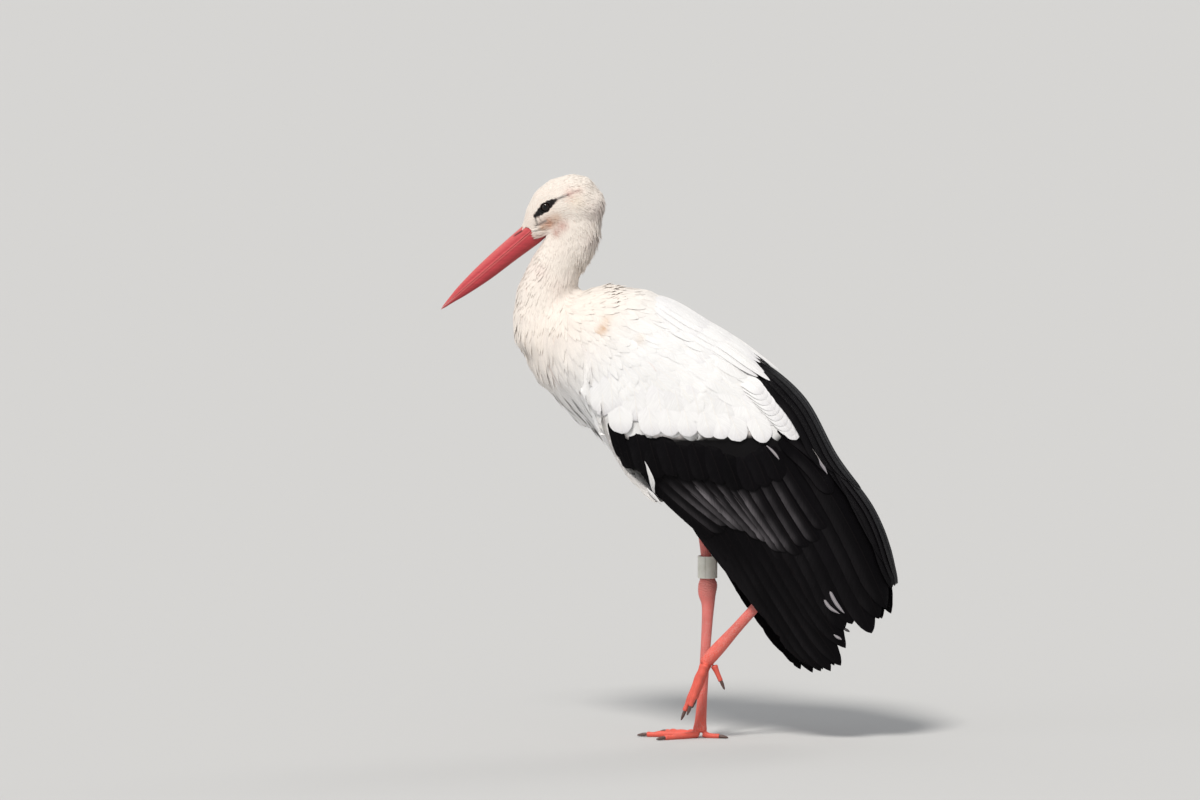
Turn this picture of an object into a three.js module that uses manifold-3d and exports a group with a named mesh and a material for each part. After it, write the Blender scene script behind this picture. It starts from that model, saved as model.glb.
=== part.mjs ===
// White stork in life size, caught in mid step: a still display model.
//
// Millimetres, +Z up. The bird faces -Y and its left side is +X. It stands on the right foot, with the
// left foot lifted and closed. The origin lies on the floor, under the middle of the bird's box.
import * as THREE from 'three';
import { mergeVertices } from 'three/addons/utils/BufferGeometryUtils.js';
import Module from 'manifold-3d';

const wasm = await Module();
wasm.setup();

// ---------------------------------------------------------------- driving dimensions

const GAP = 0.3; // air between two pieces that meet
const SIDEWAYS = new THREE.Vector3(1, 0, 0);
const FAR = 400; // half width of a cutting block, wider than the bird

const EYE = { radius: 7.6, x: 15.4, y: -172.5, z: 745 };
const RING = { radius: 13.8, wall: 2, height: 31, x: -17, y: 51.5, z: 224 };

// Wing: depth of the folded feathers, and how far each layer of feathers lies under the one above it.
const WING_DEPTH = { front: 13, tip: 5 };
const LAYER = { coverts: 0, greaterCoverts: 1.6, tertials: 1.2, secondaries: 3, primaries: 3.6 };

// ---------------------------------------------------------------- materials

const paint = (name, color, roughness) =>
  new THREE.MeshStandardMaterial({ name, color, roughness, metalness: 0 });

const WHITE_PLUMAGE = paint('white_plumage', 0xf0e9e0, 0.85);
const BLACK_PLUMAGE = paint('black_plumage', 0x17151a, 0.6);
const BILL_HORN = paint('bill', 0xcf3b3d, 0.45);
const LEG_SKIN = paint('leg_skin', 0xe0675f, 0.6);
const CLAW_HORN = paint('claw', 0x4a3330, 0.5);
const EYE_BLACK = paint('eye', 0x0a0a0c, 0.08);
const RING_WHITE = paint('leg_ring', 0xe9e6dc, 0.5);

// ---------------------------------------------------------------- solids from three.js shapes

// One closed solid from a three.js geometry, its shared corners merged.
function toSolid(geometry) {
  const bare = geometry.clone();
  bare.deleteAttribute('normal');
  bare.deleteAttribute('uv');
  const merged = mergeVertices(bare, 1e-3);
  return new wasm.Manifold(
    new wasm.Mesh({
      numProp: 3,
      vertProperties: new Float32Array(merged.attributes.position.array),
      triVerts: new Uint32Array(merged.index.array),
    }),
  );
}

function toGeometry(solid) {
  const mesh = solid.getMesh();
  const geometry = new THREE.BufferGeometry();
  geometry.setAttribute('position', new THREE.BufferAttribute(new Float32Array(mesh.vertProperties), 3));
  geometry.setIndex(new THREE.BufferAttribute(new Uint32Array(mesh.triVerts), 1));
  return geometry;
}

// A section of a loft: its centre, its half width, and its reach over and under the centre.
const station = (y, z, width, over = width, under = over, x = 0) => ({ x, y, z, width, over, under });

// A closed form through a row of stations: a sphere drawn out along their centres. Each ring stands
// square to the line of centres, and `side` is the direction of its width. `squareness` of 2 gives
// ellipses, more gives fuller corners, and `blunt` sets how short the rounded ends are.
function loft(stations, options = {}) {
  const { sides = 16, steps = 12, side = SIDEWAYS, grow = 0, squareness = 2, blunt = 2.4 } = options;
  const curve = (pick) => new THREE.CatmullRomCurve3(stations.map(pick), false, 'catmullrom', 0.5);
  const centres = curve((s) => new THREE.Vector3(s.x, s.y, s.z));
  const reaches = curve((s) => new THREE.Vector3(s.width, s.over, s.under));
  const geometry = new THREE.SphereGeometry(1, sides, steps);
  const corners = geometry.attributes.position;
  const corner = new THREE.Vector3();
  const shape = (value) => Math.sign(value) * Math.abs(value) ** (2 / squareness);
  for (let i = 0; i < corners.count; i += 1) {
    corner.fromBufferAttribute(corners, i);
    const along = THREE.MathUtils.clamp((1 - corner.y) / 2, 0, 1);
    const ring = Math.hypot(corner.x, corner.z);
    const across = ring > 1e-6 ? corner.x / ring : 0;
    const upward = ring > 1e-6 ? -corner.z / ring : 0;
    const forward = centres.getTangent(along);
    const sideways = side.clone().addScaledVector(forward, -side.dot(forward)).normalize();
    const over = new THREE.Vector3().crossVectors(sideways, forward);
    const reach = reaches.getPoint(along).addScalar(grow);
    const fullness = Math.min(1, ring * blunt);
    const height = upward > 0 ? reach.y : reach.z;
    const point = centres.getPoint(along);
    point.addScaledVector(forward, -corner.y * grow);
    point.addScaledVector(sideways, reach.x * fullness * shape(across));
    point.addScaledVector(over, height * fullness * shape(upward));
    corners.setXYZ(i, point.x, point.y, point.z);
  }
  return toSolid(geometry);
}

// A block with the given outline in side view, [y, z] corners, reaching from one x to another.
function block(outline, fromX = -FAR, toX = FAR) {
  const shape = new THREE.Shape(outline.map(([y, z]) => new THREE.Vector2(y, z)));
  const geometry = new THREE.ExtrudeGeometry(shape, { depth: toX - fromX, bevelEnabled: false });
  const axes = [new THREE.Vector3(0, 1, 0), new THREE.Vector3(0, 0, 1), SIDEWAYS];
  geometry.applyMatrix4(new THREE.Matrix4().makeBasis(...axes));
  geometry.translate(fromX, 0, 0);
  return toSolid(geometry);
}

// The outline moved inwards all round by a distance, or outwards by a negative one.
function inset(outline, distance) {
  const points = outline.map(([y, z]) => new THREE.Vector2(y, z));
  const turn = Math.sign(THREE.ShapeUtils.area(points));
  const inward = (from, to) => {
    const edge = new THREE.Vector2().subVectors(to, from).normalize();
    return new THREE.Vector2(-edge.y * turn, edge.x * turn);
  };
  return points.map((point, i) => {
    const before = inward(points.at(i - 1), point);
    const after = inward(point, points[(i + 1) % points.length]);
    const stretch = distance / Math.max(0.4, 1 + before.dot(after));
    const moved = point.clone().addScaledVector(before.add(after), stretch);
    return [moved.x, moved.y];
  });
}

// The rounded tips of a row of feathers between two points, hanging out by `depth`.
function scallops([fromY, fromZ], [toY, toZ], count, depth) {
  const length = Math.hypot(toY - fromY, toZ - fromZ);
  const out = [(toZ - fromZ) / length, -(toY - fromY) / length];
  const points = [];
  const perFeather = 3;
  for (let i = 0; i <= count * perFeather; i += 1) {
    const along = i / (count * perFeather);
    const bulge = depth * Math.abs(Math.sin(along * count * Math.PI)) ** 0.6;
    const y = fromY + (toY - fromY) * along + out[0] * bulge;
    const z = fromZ + (toZ - fromZ) * along + out[1] * bulge;
    points.push([y, z]);
  }
  return points;
}

// ---------------------------------------------------------------- the model's nodes

const group = new THREE.Group();

function addNode(name, solid, material) {
  const mesh = new THREE.Mesh(toGeometry(solid), material);
  mesh.name = name;
  group.add(mesh);
}

// ---------------------------------------------------------------- flesh, with its feathers, as one form

const HEAD = [
  station(-211, 701, 7, 7, 6),
  station(-196, 716, 15, 15, 20),
  station(-178, 731, 20.5, 33, 29),
  station(-155, 742, 26, 46, 38),
  station(-130, 748, 28.5, 47, 38),
  station(-108, 746, 25.5, 33, 35),
  station(-93, 741, 14, 18, 24),
];

const NECK = [
  station(-128, 752, 22, 24, 26),
  station(-134, 712, 27, 37, 38),
  station(-147, 676, 31, 33, 37),
  station(-163, 640, 37, 33, 46),
  station(-166, 603, 47, 42, 56),
  station(-158, 560, 56, 50, 61),
  station(-146, 520, 58, 45, 55),
  station(-132, 486, 46, 40, 42),
];

const BREAST = [
  station(-168, 640, 26, 20, 28),
  station(-172, 602, 46, 34, 51),
  station(-170, 562, 58, 44, 53),
  station(-158, 520, 58, 44, 37),
  station(-139, 480, 44, 36, 23),
  station(-122, 448, 20, 16, 12),
  station(-115, 434, 5, 5, 4),
];

const TRUNK = [
  station(-196, 590, 26, 22, 24),
  station(-160, 575, 68, 57, 60),
  station(-115, 548, 88, 113, 82),
  station(-60, 505, 91, 126, 84),
  station(0, 455, 88, 122, 99),
  station(55, 405, 76, 106, 97),
  station(105, 355, 58, 82, 64),
  station(150, 305, 36, 52, 40),
  station(182, 266, 16, 26, 18),
];

// ---------------------------------------------------------------- folded wings

// The outer form of the folded wings and back, out to the feather tips.
const FOLDED = [
  station(-178, 578, 34, 22, 20),
  station(-140, 560, 78, 90, 70),
  station(-100, 530, 95, 128, 104),
  station(-40, 480, 101, 142, 112),
  station(20, 430, 101, 152, 122),
  station(80, 375, 94, 154, 126),
  station(135, 315, 84, 132, 128),
  station(185, 250, 73, 129, 124),
  station(225, 190, 60, 110, 118),
  station(255, 140, 48, 86, 108),
  station(290, 80, 36, 76, 90),
];

const FOLDED_SHAPE = { sides: 20, steps: 14, squareness: 2.3 };

// The room inside the folded wings, where trunk, thighs and tail lie.
const INSIDE = FOLDED.map((s, i) => {
  const depth = THREE.MathUtils.lerp(WING_DEPTH.front, WING_DEPTH.tip, i / (FOLDED.length - 1));
  return station(s.y, s.z, s.width - depth, s.over - depth, s.under - depth);
});

// The lower edge of each wing from the greater coverts down to the tip. The right wing hangs lower,
// because the bird leans over its right leg.
const LOWER_EDGE = {
  left: [[2, 349], [52, 291], [86, 254], [126, 210], [160, 172], [186, 134]],
  right: [[-17, 339], [34, 279], [65, 239], [102, 192], [135, 150], [163, 109]],
};

// Tips and notches of the feathers at the wing's end, from the lower edge up to the back.
const TIPS = {
  left: [[200, 104], [211, 122], [218, 98], [228, 120], [243, 106], [250, 134], [258, 168]],
  right: [[174, 92], [186, 112], [197, 90], [208, 112], [226, 100], [240, 132], [250, 168]],
};
const TERTIAL_TIPS = {
  left: [[262, 172], [291, 154], [297, 200], [310, 188], [322, 230], [340, 300]],
  right: [[252, 172], [277, 152], [290, 196], [312, 168], [322, 190], [340, 300]],
};

const SHOULDER = [-98, 578];
const BEND = [-112, 484];
const COVERTS_FRONT = [-80, 426];
const COVERTS_BACK = [193, 428];
const SCAPULAR_TIP = [150, 507];
const MIDDLE = [[-62, 548], [20, 530], [96, 514]]; // where scapulars and coverts meet
const INNER_EDGE = [[160, 484], [178, 458]]; // where coverts and tertials meet
const GREATER_FRONT = [[-50, 384], [-33, 378], [-17, 362]];
const GREATER_TIPS = { from: [-10, 366], to: [146, 356], count: 6, depth: 7 };
const SECONDARY_BACK = [[172, 378], [236, 330]];
const PRIMARY_LINE = [[116, 250], [190, 244], [246, 222]];

const COVERT_TIPS = scallops(COVERTS_FRONT, COVERTS_BACK, 8, -8).reverse();
const GREATER_EDGE = scallops(GREATER_TIPS.from, GREATER_TIPS.to, GREATER_TIPS.count, -GREATER_TIPS.depth);

// Outlines of a wing's feather groups in side view. Two groups that meet share the line between them.
function wingOutlines(which) {
  const edge = LOWER_EDGE[which];
  return {
    scapulars: [SHOULDER, [-70, 720], [80, 660], [148, 552], SCAPULAR_TIP, ...MIDDLE.toReversed()],
    coverts: [SHOULDER, ...MIDDLE, SCAPULAR_TIP, ...INNER_EDGE, ...COVERT_TIPS, BEND],
    greater_coverts: [...COVERT_TIPS.toReversed(), SECONDARY_BACK[0], ...GREATER_EDGE.toReversed(),
      ...GREATER_FRONT.toReversed()],
    secondaries: [...GREATER_EDGE, ...SECONDARY_BACK, PRIMARY_LINE[2], PRIMARY_LINE[1], PRIMARY_LINE[0],
      edge[1], edge[0]],
    tertials: [SCAPULAR_TIP, [148, 552], [220, 620], [400, 330], ...TERTIAL_TIPS[which].toReversed(),
      PRIMARY_LINE[2], SECONDARY_BACK[1], SECONDARY_BACK[0], COVERTS_BACK, ...INNER_EDGE.toReversed()],
    primaries: [edge[1], ...PRIMARY_LINE, ...TIPS[which].toReversed(), ...edge.slice(2).toReversed()],
  };
}

const WING_PAINT = {
  scapulars: WHITE_PLUMAGE,
  coverts: WHITE_PLUMAGE,
  greater_coverts: BLACK_PLUMAGE,
  secondaries: BLACK_PLUMAGE,
  tertials: BLACK_PLUMAGE,
  primaries: BLACK_PLUMAGE,
};
const WING_LAYER = {
  scapulars: LAYER.coverts,
  coverts: LAYER.coverts,
  greater_coverts: LAYER.greaterCoverts,
  secondaries: LAYER.secondaries,
  tertials: LAYER.tertials,
  primaries: LAYER.primaries,
};
const WINGS = [
  { which: 'left', fromX: GAP / 2, toX: FAR },
  { which: 'right', fromX: -FAR, toX: -GAP / 2 },
];

const inside = loft(INSIDE, FOLDED_SHAPE);
const insideTight = loft(INSIDE, { ...FOLDED_SHAPE, grow: -GAP });

for (const { which, fromX, toX } of WINGS) {
  for (const [feathers, outline] of Object.entries(wingOutlines(which))) {
    const layer = loft(FOLDED, { ...FOLDED_SHAPE, grow: -WING_LAYER[feathers] });
    const solid = layer.intersect(block(inset(outline, GAP / 2), fromX, toX)).subtract(inside);
    addNode(`${feathers}_${which}`, solid, WING_PAINT[feathers]);
  }
}

// ---------------------------------------------------------------- legs

const LEFT_ANKLE = [190.5, 263.5, 40];
const LEFT_FOOT = [57.5, 113, 29];
const RIGHT_ANKLE = [52.5, 208, -15];
const RIGHT_FOOT = [43, 10, -3];

const LEGS = {
  left: {
    thigh: [
      station(-34, 412, 26, 30, 30, 46),
      station(10, 378, 30, 34, 34, 47),
      station(58, 345, 26, 28, 28, 47),
      station(98, 320, 17, 18, 18, 46),
      station(122, 306, 10, 11, 11, 45),
    ],
    tibia: [
      station(96, 321, 7, 7.5, 7.5, 46),
      station(140, 295, 6.6, 7.2, 7.2, 44),
      station(173, 274, 7, 8, 8, 42),
      station(187.5, 265, 7.5, 9, 9, 40.5),
    ],
    tarsus: [
      station(LEFT_ANKLE[0] + 6, LEFT_ANKLE[1] + 7, 7.5, 9, 8, LEFT_ANKLE[2]),
      station(LEFT_ANKLE[0] - 3, LEFT_ANKLE[1] - 4, 9.5, 12, 11, LEFT_ANKLE[2]),
      station(169.5, 239.5, 8, 9.5, 9, 38.5),
      station(144, 210, 6.6, 8, 7.8, 36),
      station(102, 162.5, 6.6, 8, 8, 32.5),
      station(74, 131, 8, 10, 10, 30),
      station(LEFT_FOOT[0], LEFT_FOOT[1], 10.5, 10.5, 9.5, LEFT_FOOT[2]),
    ],
  },
  right: {
    thigh: [
      station(-6, 452, 26, 30, 30, -45),
      station(10, 408, 28, 34, 34, -41),
      station(24, 362, 23, 27, 27, -34),
      station(36, 325, 15, 17, 17, -28),
      station(42, 302, 9, 10.5, 10.5, -24),
    ],
    tibia: [
      station(36, 326, 7, 7.5, 7.5, -28),
      station(44, 288, 6.6, 7.6, 7.6, -22),
      station(50, 250, 7, 8.2, 8.2, -18),
      station(52, 224, 8, 10, 10, -15.5),
    ],
    tarsus: [
      station(52.5, 221, 8.5, 10.5, 10, -15.3),
      station(RIGHT_ANKLE[0], RIGHT_ANKLE[1] + 3, 10.5, 13, 13, RIGHT_ANKLE[2]),
      station(53, 190, 9, 10.5, 11, -13.8),
      station(52, 165, 6.8, 8.4, 8.6, -12),
      station(49.5, 120, 6.4, 7.6, 7.6, -9.2),
      station(46, 60, 6.4, 7.4, 7.4, -5.8),
      station(44, 24, 8, 8.6, 9, -3.7),
      station(RIGHT_FOOT[0], RIGHT_FOOT[1] - 3, 10.5, 10, 11, RIGHT_FOOT[2]),
    ],
  },
};

// Toes: length without the claw, and how far each is turned out from straight ahead on the standing foot.
// `start` is how far from the middle of the foot each begins.
const TOES = {
  middle: { length: 74, turn: 0, thickness: 6.1, joints: 3, start: 3 },
  inner: { length: 56, turn: 38, thickness: 5.7, joints: 2, start: 3 },
  outer: { length: 66, turn: -38, thickness: 5.7, joints: 4, start: 3 },
  hind: { length: 25, turn: 172, thickness: 5, joints: 1, start: 4 },
};
const KNUCKLE = 0.16; // how much a toe swells at its joints
const TOE_TAPER = 0.34; // how much thinner a toe is at its end
const TOE_WIDTH = 1.05; // half width of a toe over its half height
const SOLE = 0.86; // height of a standing toe's centre line over the floor, in half heights of the toe
const TOE_ROOT_HEIGHT = 6.2; // height of that line where a toe leaves the foot
const LEVEL_BY = 0.25; // part of the toe's length over which it comes down to its own height

// A claw's sections: how far along it each lies, how far it has drooped there, and its size.
const CLAW = { length: 12, width: 3.4, height: 3.2, droop: 1.6 };
const CLAW_SECTIONS = [
  { along: -0.17, drooped: 0, size: 0.9 },
  { along: 0.3, drooped: 0.2, size: 1 },
  { along: 0.7, drooped: 0.6, size: 0.75 },
  { along: 1, drooped: 1, size: 0.3 },
];

// A toe, drawn out from its root to its tip along `heading`. With `floorLine` its underside lies on
// the floor.
function makeToe({ length, thickness, joints }, root, heading, width, floorLine) {
  const rows = [];
  const rowCount = joints * 2 + 1;
  for (let i = 0; i <= rowCount; i += 1) {
    const along = i / rowCount;
    const swell = 1 + KNUCKLE * Math.cos(along * joints * 2 * Math.PI);
    const radius = thickness * (1 - TOE_TAPER * along) * swell;
    const centre = root.clone().addScaledVector(heading, length * along);
    if (floorLine) {
      const level = radius * SOLE;
      centre.z = Math.max(level, root.z + (level - root.z) * Math.min(1, along / LEVEL_BY));
    }
    rows.push(station(centre.y, centre.z, radius * TOE_WIDTH, radius, radius, centre.x));
  }
  return { solid: loft(rows, { sides: 8, steps: rowCount + 2, side: width }), tip: rows.at(-1) };
}

// A blunt claw from the middle of the toe's end, drooping a little.
function makeClaw(tip, heading, width, droop) {
  const rows = CLAW_SECTIONS.map(({ along, drooped, size }) => {
    const reach = CLAW.length * along;
    return station(
      tip.y + heading.y * reach,
      tip.z + heading.z * reach - droop * drooped,
      CLAW.width * size,
      CLAW.height * size,
      CLAW.height * size,
      tip.x + heading.x * reach,
    );
  });
  return loft(rows, { sides: 6, steps: 4, side: width });
}

const TARSUS_SHAPE = { sides: 10, steps: 14 };
const TIBIA_SHAPE = { sides: 10, steps: 8 };
const THIGH_SHAPE = { sides: 10, steps: 8 };
const HEAD_SHAPE = { sides: 16, steps: 12 };
const NECK_SHAPE = { sides: 16, steps: 10 };
const TRUNK_SHAPE = { sides: 18, steps: 12, squareness: 2.2 };

const floor = block([[-FAR, 0], [FAR, 0], [FAR, 2 * FAR], [-FAR, 2 * FAR]]);

function addFoot(which, foot, toePlan) {
  const tarsus = loft(LEGS[which].tarsus, TARSUS_SHAPE);
  const tarsusGrown = loft(LEGS[which].tarsus, { ...TARSUS_SHAPE, grow: GAP });
  addNode(`tarsus_${which}`, tarsus.intersect(floor), LEG_SKIN);
  const taken = [tarsusGrown];
  for (const [toe, size] of Object.entries(TOES)) {
    const { root, heading, width, floorLine, droop } = toePlan(toe, size);
    const made = makeToe(size, root, heading, width, floorLine);
    const grown = { ...size, thickness: size.thickness + GAP, length: size.length + GAP };
    const roomy = makeToe(grown, root, heading, width, floorLine);
    const claw = makeClaw(made.tip, heading, width, droop);
    const cut = (solid) => taken.reduce((rest, other) => rest.subtract(other), solid.intersect(floor));
    addNode(`toe_${toe}_${which}`, cut(made.solid), LEG_SKIN);
    addNode(`claw_${toe}_${which}`, cut(claw).subtract(roomy.solid), CLAW_HORN);
    taken.push(roomy.solid);
  }
}

// The standing foot: toes spread flat on the floor. The inner toe of the right foot lies towards +X.
addFoot('right', RIGHT_FOOT, (_, size) => {
  const turn = THREE.MathUtils.degToRad(size.turn);
  const heading = new THREE.Vector3(Math.sin(turn), -Math.cos(turn), 0);
  const width = new THREE.Vector3(Math.cos(turn), Math.sin(turn), 0);
  const root = new THREE.Vector3(RIGHT_FOOT[2], RIGHT_FOOT[0], TOE_ROOT_HEIGHT);
  root.addScaledVector(heading, size.start);
  return { root, heading, width, floorLine: true, droop: CLAW.droop };
});

// The lifted foot: the front toes hang closed, side by side, and the hind toe stands off behind.
const HANGING = new THREE.Vector3(0, -0.38, -0.925).normalize();
const HIND_HANGING = new THREE.Vector3(-0.04, 0.4, -0.92).normalize();
const LIFTED_LEAN = {
  middle: { x: 0, y: 0, z: 0 },
  inner: { x: 0.06, y: 0.05, z: 0 },
  outer: { x: -0.07, y: 0.03, z: 0 },
  hind: { x: 0, y: 0, z: 0 },
};
const LIFTED_ROOT = {
  middle: { x: 0, y: -4.5, z: -5 },
  inner: { x: -10.5, y: 0.5, z: -4 },
  outer: { x: 10.5, y: -0.5, z: -4 },
  hind: { x: -1, y: 9, z: -7 },
};
addFoot('left', LEFT_FOOT, (toe) => {
  const heading = (toe === 'hind' ? HIND_HANGING : HANGING).clone();
  heading.add(LIFTED_LEAN[toe]).normalize();
  const { x, y, z } = LIFTED_ROOT[toe];
  const root = new THREE.Vector3(LEFT_FOOT[2] + x, LEFT_FOOT[0] + y, LEFT_FOOT[1] + z);
  return { root, heading, width: SIDEWAYS, floorLine: false, droop: 0 };
});

for (const which of ['left', 'right']) {
  const { thigh, tibia, tarsus } = LEGS[which];
  const thighSolid = loft(thigh, THIGH_SHAPE).intersect(insideTight);
  addNode(`thigh_${which}`, thighSolid, WHITE_PLUMAGE);
  const tibiaSolid = loft(tibia, TIBIA_SHAPE)
    .subtract(loft(thigh, { ...THIGH_SHAPE, grow: GAP }))
    .subtract(loft(tarsus, { ...TARSUS_SHAPE, grow: GAP }));
  addNode(`tibia_${which}`, tibiaSolid, LEG_SKIN);
}

// ---------------------------------------------------------------- leg ring, a plain white sleeve

const ringProfile = [
  [RING.radius - RING.wall, 0],
  [RING.radius, 0],
  [RING.radius, RING.height],
  [RING.radius - RING.wall, RING.height],
  [RING.radius - RING.wall, 0],
].map(([radius, height]) => new THREE.Vector2(radius, height));
const ring = new THREE.LatheGeometry(ringProfile, 18);
ring.rotateX(Math.PI / 2);
ring.translate(RING.x, RING.y, RING.z);
addNode('leg_ring_right', toSolid(ring), RING_WHITE);

// ---------------------------------------------------------------- bill

const BILL = [
  station(-323, 599, 1.5, 1.4, 1.4),
  station(-308, 613, 3.5, 4.6, 5.3),
  station(-292.4, 626.9, 5.6, 7.8, 9.4),
  station(-262, 652.5, 8.6, 11.8, 14),
  station(-227, 682.5, 11.4, 13.4, 16.8),
  station(-192, 711.5, 13, 14, 19),
  station(-178, 723.5, 11, 10, 16),
];
const BILL_SHAPE = { sides: 14, steps: 9 };
const MOUTH_LINE = [[-340, 585.5], [-160, 739]]; // straight from beyond the tip to behind the gape

const bill = loft(BILL, BILL_SHAPE);
const [mouthFront, mouthBack] = MOUTH_LINE;
const overMouth = [mouthFront, mouthBack, [-160, 850], [-340, 850]];
const underMouth = [mouthFront, mouthBack, [-160, 500], [-340, 500]];
addNode('bill_upper', bill.intersect(block(inset(overMouth, GAP / 2))), BILL_HORN);
addNode('bill_lower', bill.intersect(block(inset(underMouth, GAP / 2))), BILL_HORN);

// ---------------------------------------------------------------- eyes

const eyeBall = (side, grow = 0) => {
  const ball = new THREE.SphereGeometry(EYE.radius + grow, 10, 7);
  ball.rotateZ(Math.PI / 2);
  ball.translate(side * EYE.x, EYE.y, EYE.z);
  return toSolid(ball);
};
addNode('eye_left', eyeBall(1), EYE_BLACK);
addNode('eye_right', eyeBall(-1), EYE_BLACK);

// ---------------------------------------------------------------- head, neck, breast, trunk and tail

const NECK_LINE = [[-300, 683], [-184, 683], [-88, 720], [0, 720]];
const NAPE_LINE = [[-132, 633], [-92, 655], [0, 700]]; // where the neck leaves the back
const BREAST_LINE = [[-300, 640], [-214, 640], [-170, 624], ...NAPE_LINE];
const TRUNK_LINE = [[-170, 624], [-118, 592], [-96, 520], [-100, 430], [-100, 380]];

const REGIONS = {
  head: [...NECK_LINE, [0, 900], [-300, 900]],
  neck: [...NECK_LINE, ...BREAST_LINE.toReversed()],
  breast: [[-300, 640], [-214, 640], ...TRUNK_LINE, [-300, 380]],
  trunk: [...TRUNK_LINE, [-100, 200], [400, 200], [400, 700], ...NAPE_LINE.toReversed()],
};

const whole = loft(HEAD, HEAD_SHAPE)
  .add(loft(NECK, NECK_SHAPE))
  .add(loft(BREAST, NECK_SHAPE))
  .add(loft(TRUNK, TRUNK_SHAPE));

let flesh = whole
  .subtract(loft(BILL, { ...BILL_SHAPE, grow: GAP }))
  .subtract(eyeBall(1, GAP))
  .subtract(eyeBall(-1, GAP));
for (const { which, fromX, toX } of WINGS) {
  for (const outline of Object.values(wingOutlines(which))) {
    flesh = flesh.subtract(block(inset(outline, -GAP / 2), fromX - GAP, toX + GAP).subtract(insideTight));
  }
  flesh = flesh.subtract(loft(LEGS[which].thigh, { ...THIGH_SHAPE, grow: GAP }));
  flesh = flesh.subtract(loft(LEGS[which].tibia, { ...TIBIA_SHAPE, grow: GAP }));
}
for (const [name, outline] of Object.entries(REGIONS)) {
  addNode(name, flesh.intersect(block(inset(outline, GAP / 2))), WHITE_PLUMAGE);
}

const TAIL = [
  station(112, 338, 18, 15, 15),
  station(150, 290, 23, 11, 11),
  station(192, 230, 28, 7, 7),
  station(222, 176, 35, 4.5, 4.5),
  station(243, 128, 33, 2.5, 2.5),
];
const tail = loft(TAIL, { sides: 12, steps: 7, blunt: 4 })
  .intersect(insideTight)
  .subtract(loft(TRUNK, { ...TRUNK_SHAPE, grow: GAP }));
addNode('tail', tail, WHITE_PLUMAGE);

// ---------------------------------------------------------------- origin under the middle of the box

const bounds = new THREE.Box3().setFromObject(group);
const middle = bounds.getCenter(new THREE.Vector3());
group.position.set(-middle.x, -middle.y, -bounds.min.z);

export default group;
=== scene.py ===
import math

import bmesh
import bpy
import numpy as np
from mathutils import Matrix, Vector
from mathutils.bvhtree import BVHTree
from mathutils.kdtree import KDTree


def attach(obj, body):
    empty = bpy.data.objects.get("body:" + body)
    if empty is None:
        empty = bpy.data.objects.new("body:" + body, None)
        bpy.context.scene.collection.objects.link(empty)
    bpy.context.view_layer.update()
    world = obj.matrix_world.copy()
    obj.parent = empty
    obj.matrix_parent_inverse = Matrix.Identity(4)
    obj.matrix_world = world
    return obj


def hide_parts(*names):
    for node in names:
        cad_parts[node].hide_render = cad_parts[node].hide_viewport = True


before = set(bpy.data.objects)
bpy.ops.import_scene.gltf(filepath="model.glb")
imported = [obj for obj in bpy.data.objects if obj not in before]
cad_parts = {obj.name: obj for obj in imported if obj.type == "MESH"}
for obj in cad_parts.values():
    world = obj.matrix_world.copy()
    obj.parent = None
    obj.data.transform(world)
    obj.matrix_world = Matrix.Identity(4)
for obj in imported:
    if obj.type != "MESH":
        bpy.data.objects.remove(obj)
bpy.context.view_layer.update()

# ---------------------------------------------------------------------------------------- camera
# A long lens at the bird's left side, a little behind square, from just above breast height. It
# looks at the middle of the body, with room all round.

LOOK_AT = Vector((0.0, -0.0988, 0.4738))
AZIMUTH = math.radians(98)
ELEVATION = math.radians(5)
DISTANCE = 15.0
FRAME_WIDTH = 1.68
SENSOR = 36.0

right = Vector((math.cos(AZIMUTH), math.sin(AZIMUTH), 0.0))
level = math.cos(ELEVATION)
back = Vector((math.sin(AZIMUTH) * level, -math.cos(AZIMUTH) * level, math.sin(ELEVATION)))
camera_data = bpy.data.cameras.new("camera")
camera_data.sensor_width = SENSOR
camera_data.lens = SENSOR * DISTANCE / FRAME_WIDTH
camera_data.clip_end = 60.0
camera = bpy.data.objects.new("camera", camera_data)
turn = Matrix((right, back.cross(right), back)).transposed().to_4x4()
camera.matrix_world = Matrix.Translation(LOOK_AT + back * DISTANCE) @ turn
bpy.context.scene.collection.objects.link(camera)
bpy.context.scene.camera = camera

# ------------------------------------------------------------------------------------- body skin
# One thin feathered skin over head, neck, breast, trunk, thighs and the arms of the wings. The
# named forms are fused, rounded and drawn in by the depth of the plumage, thin parts by less.

MM = 0.001
SHIFT_Y = -0.00054  # from the tables' own origin to the middle of the bird's box
SKIN_GRAIN = 0.0034
SWELL = 0.0006  # closes the gaps between neighbouring forms
SKIN_ROUNDS = 6  # how often the skin's corners are evened out
FLESH = ["head", "neck", "breast", "trunk", "thigh_left", "thigh_right"]
ARMS = ["scapulars", "coverts", "greater_coverts"]
FLESH += [f"{arm}_{side}" for arm in ARMS for side in ("left", "right")]


def metres(points):
    """Table points (x, y, z) in millimetres, as places in the row frame."""
    placed = np.asarray(points, float) * MM
    placed[..., 1] += SHIFT_Y
    return placed


def side_view(places):
    """(y, z) in the tables' millimetres."""
    return (places[:, 1] - SHIFT_Y) / MM, places[:, 2] / MM


def link(name, data):
    """A new object at the origin."""
    piece = bpy.data.objects.new(name, data)
    bpy.context.scene.collection.objects.link(piece)
    return piece


def mesh_of(form, name, smooth=True):
    """The finished form as a mesh."""
    mesh = bpy.data.meshes.new(name)
    form.to_mesh(mesh)
    form.free()
    mesh.polygons.foreach_set("use_smooth", np.full(len(mesh.polygons), smooth))
    return mesh


def move_points(mesh, places):
    """Gives the corners of a mesh new places."""
    mesh.vertices.foreach_set("co", places.ravel())
    mesh.update()


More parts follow.
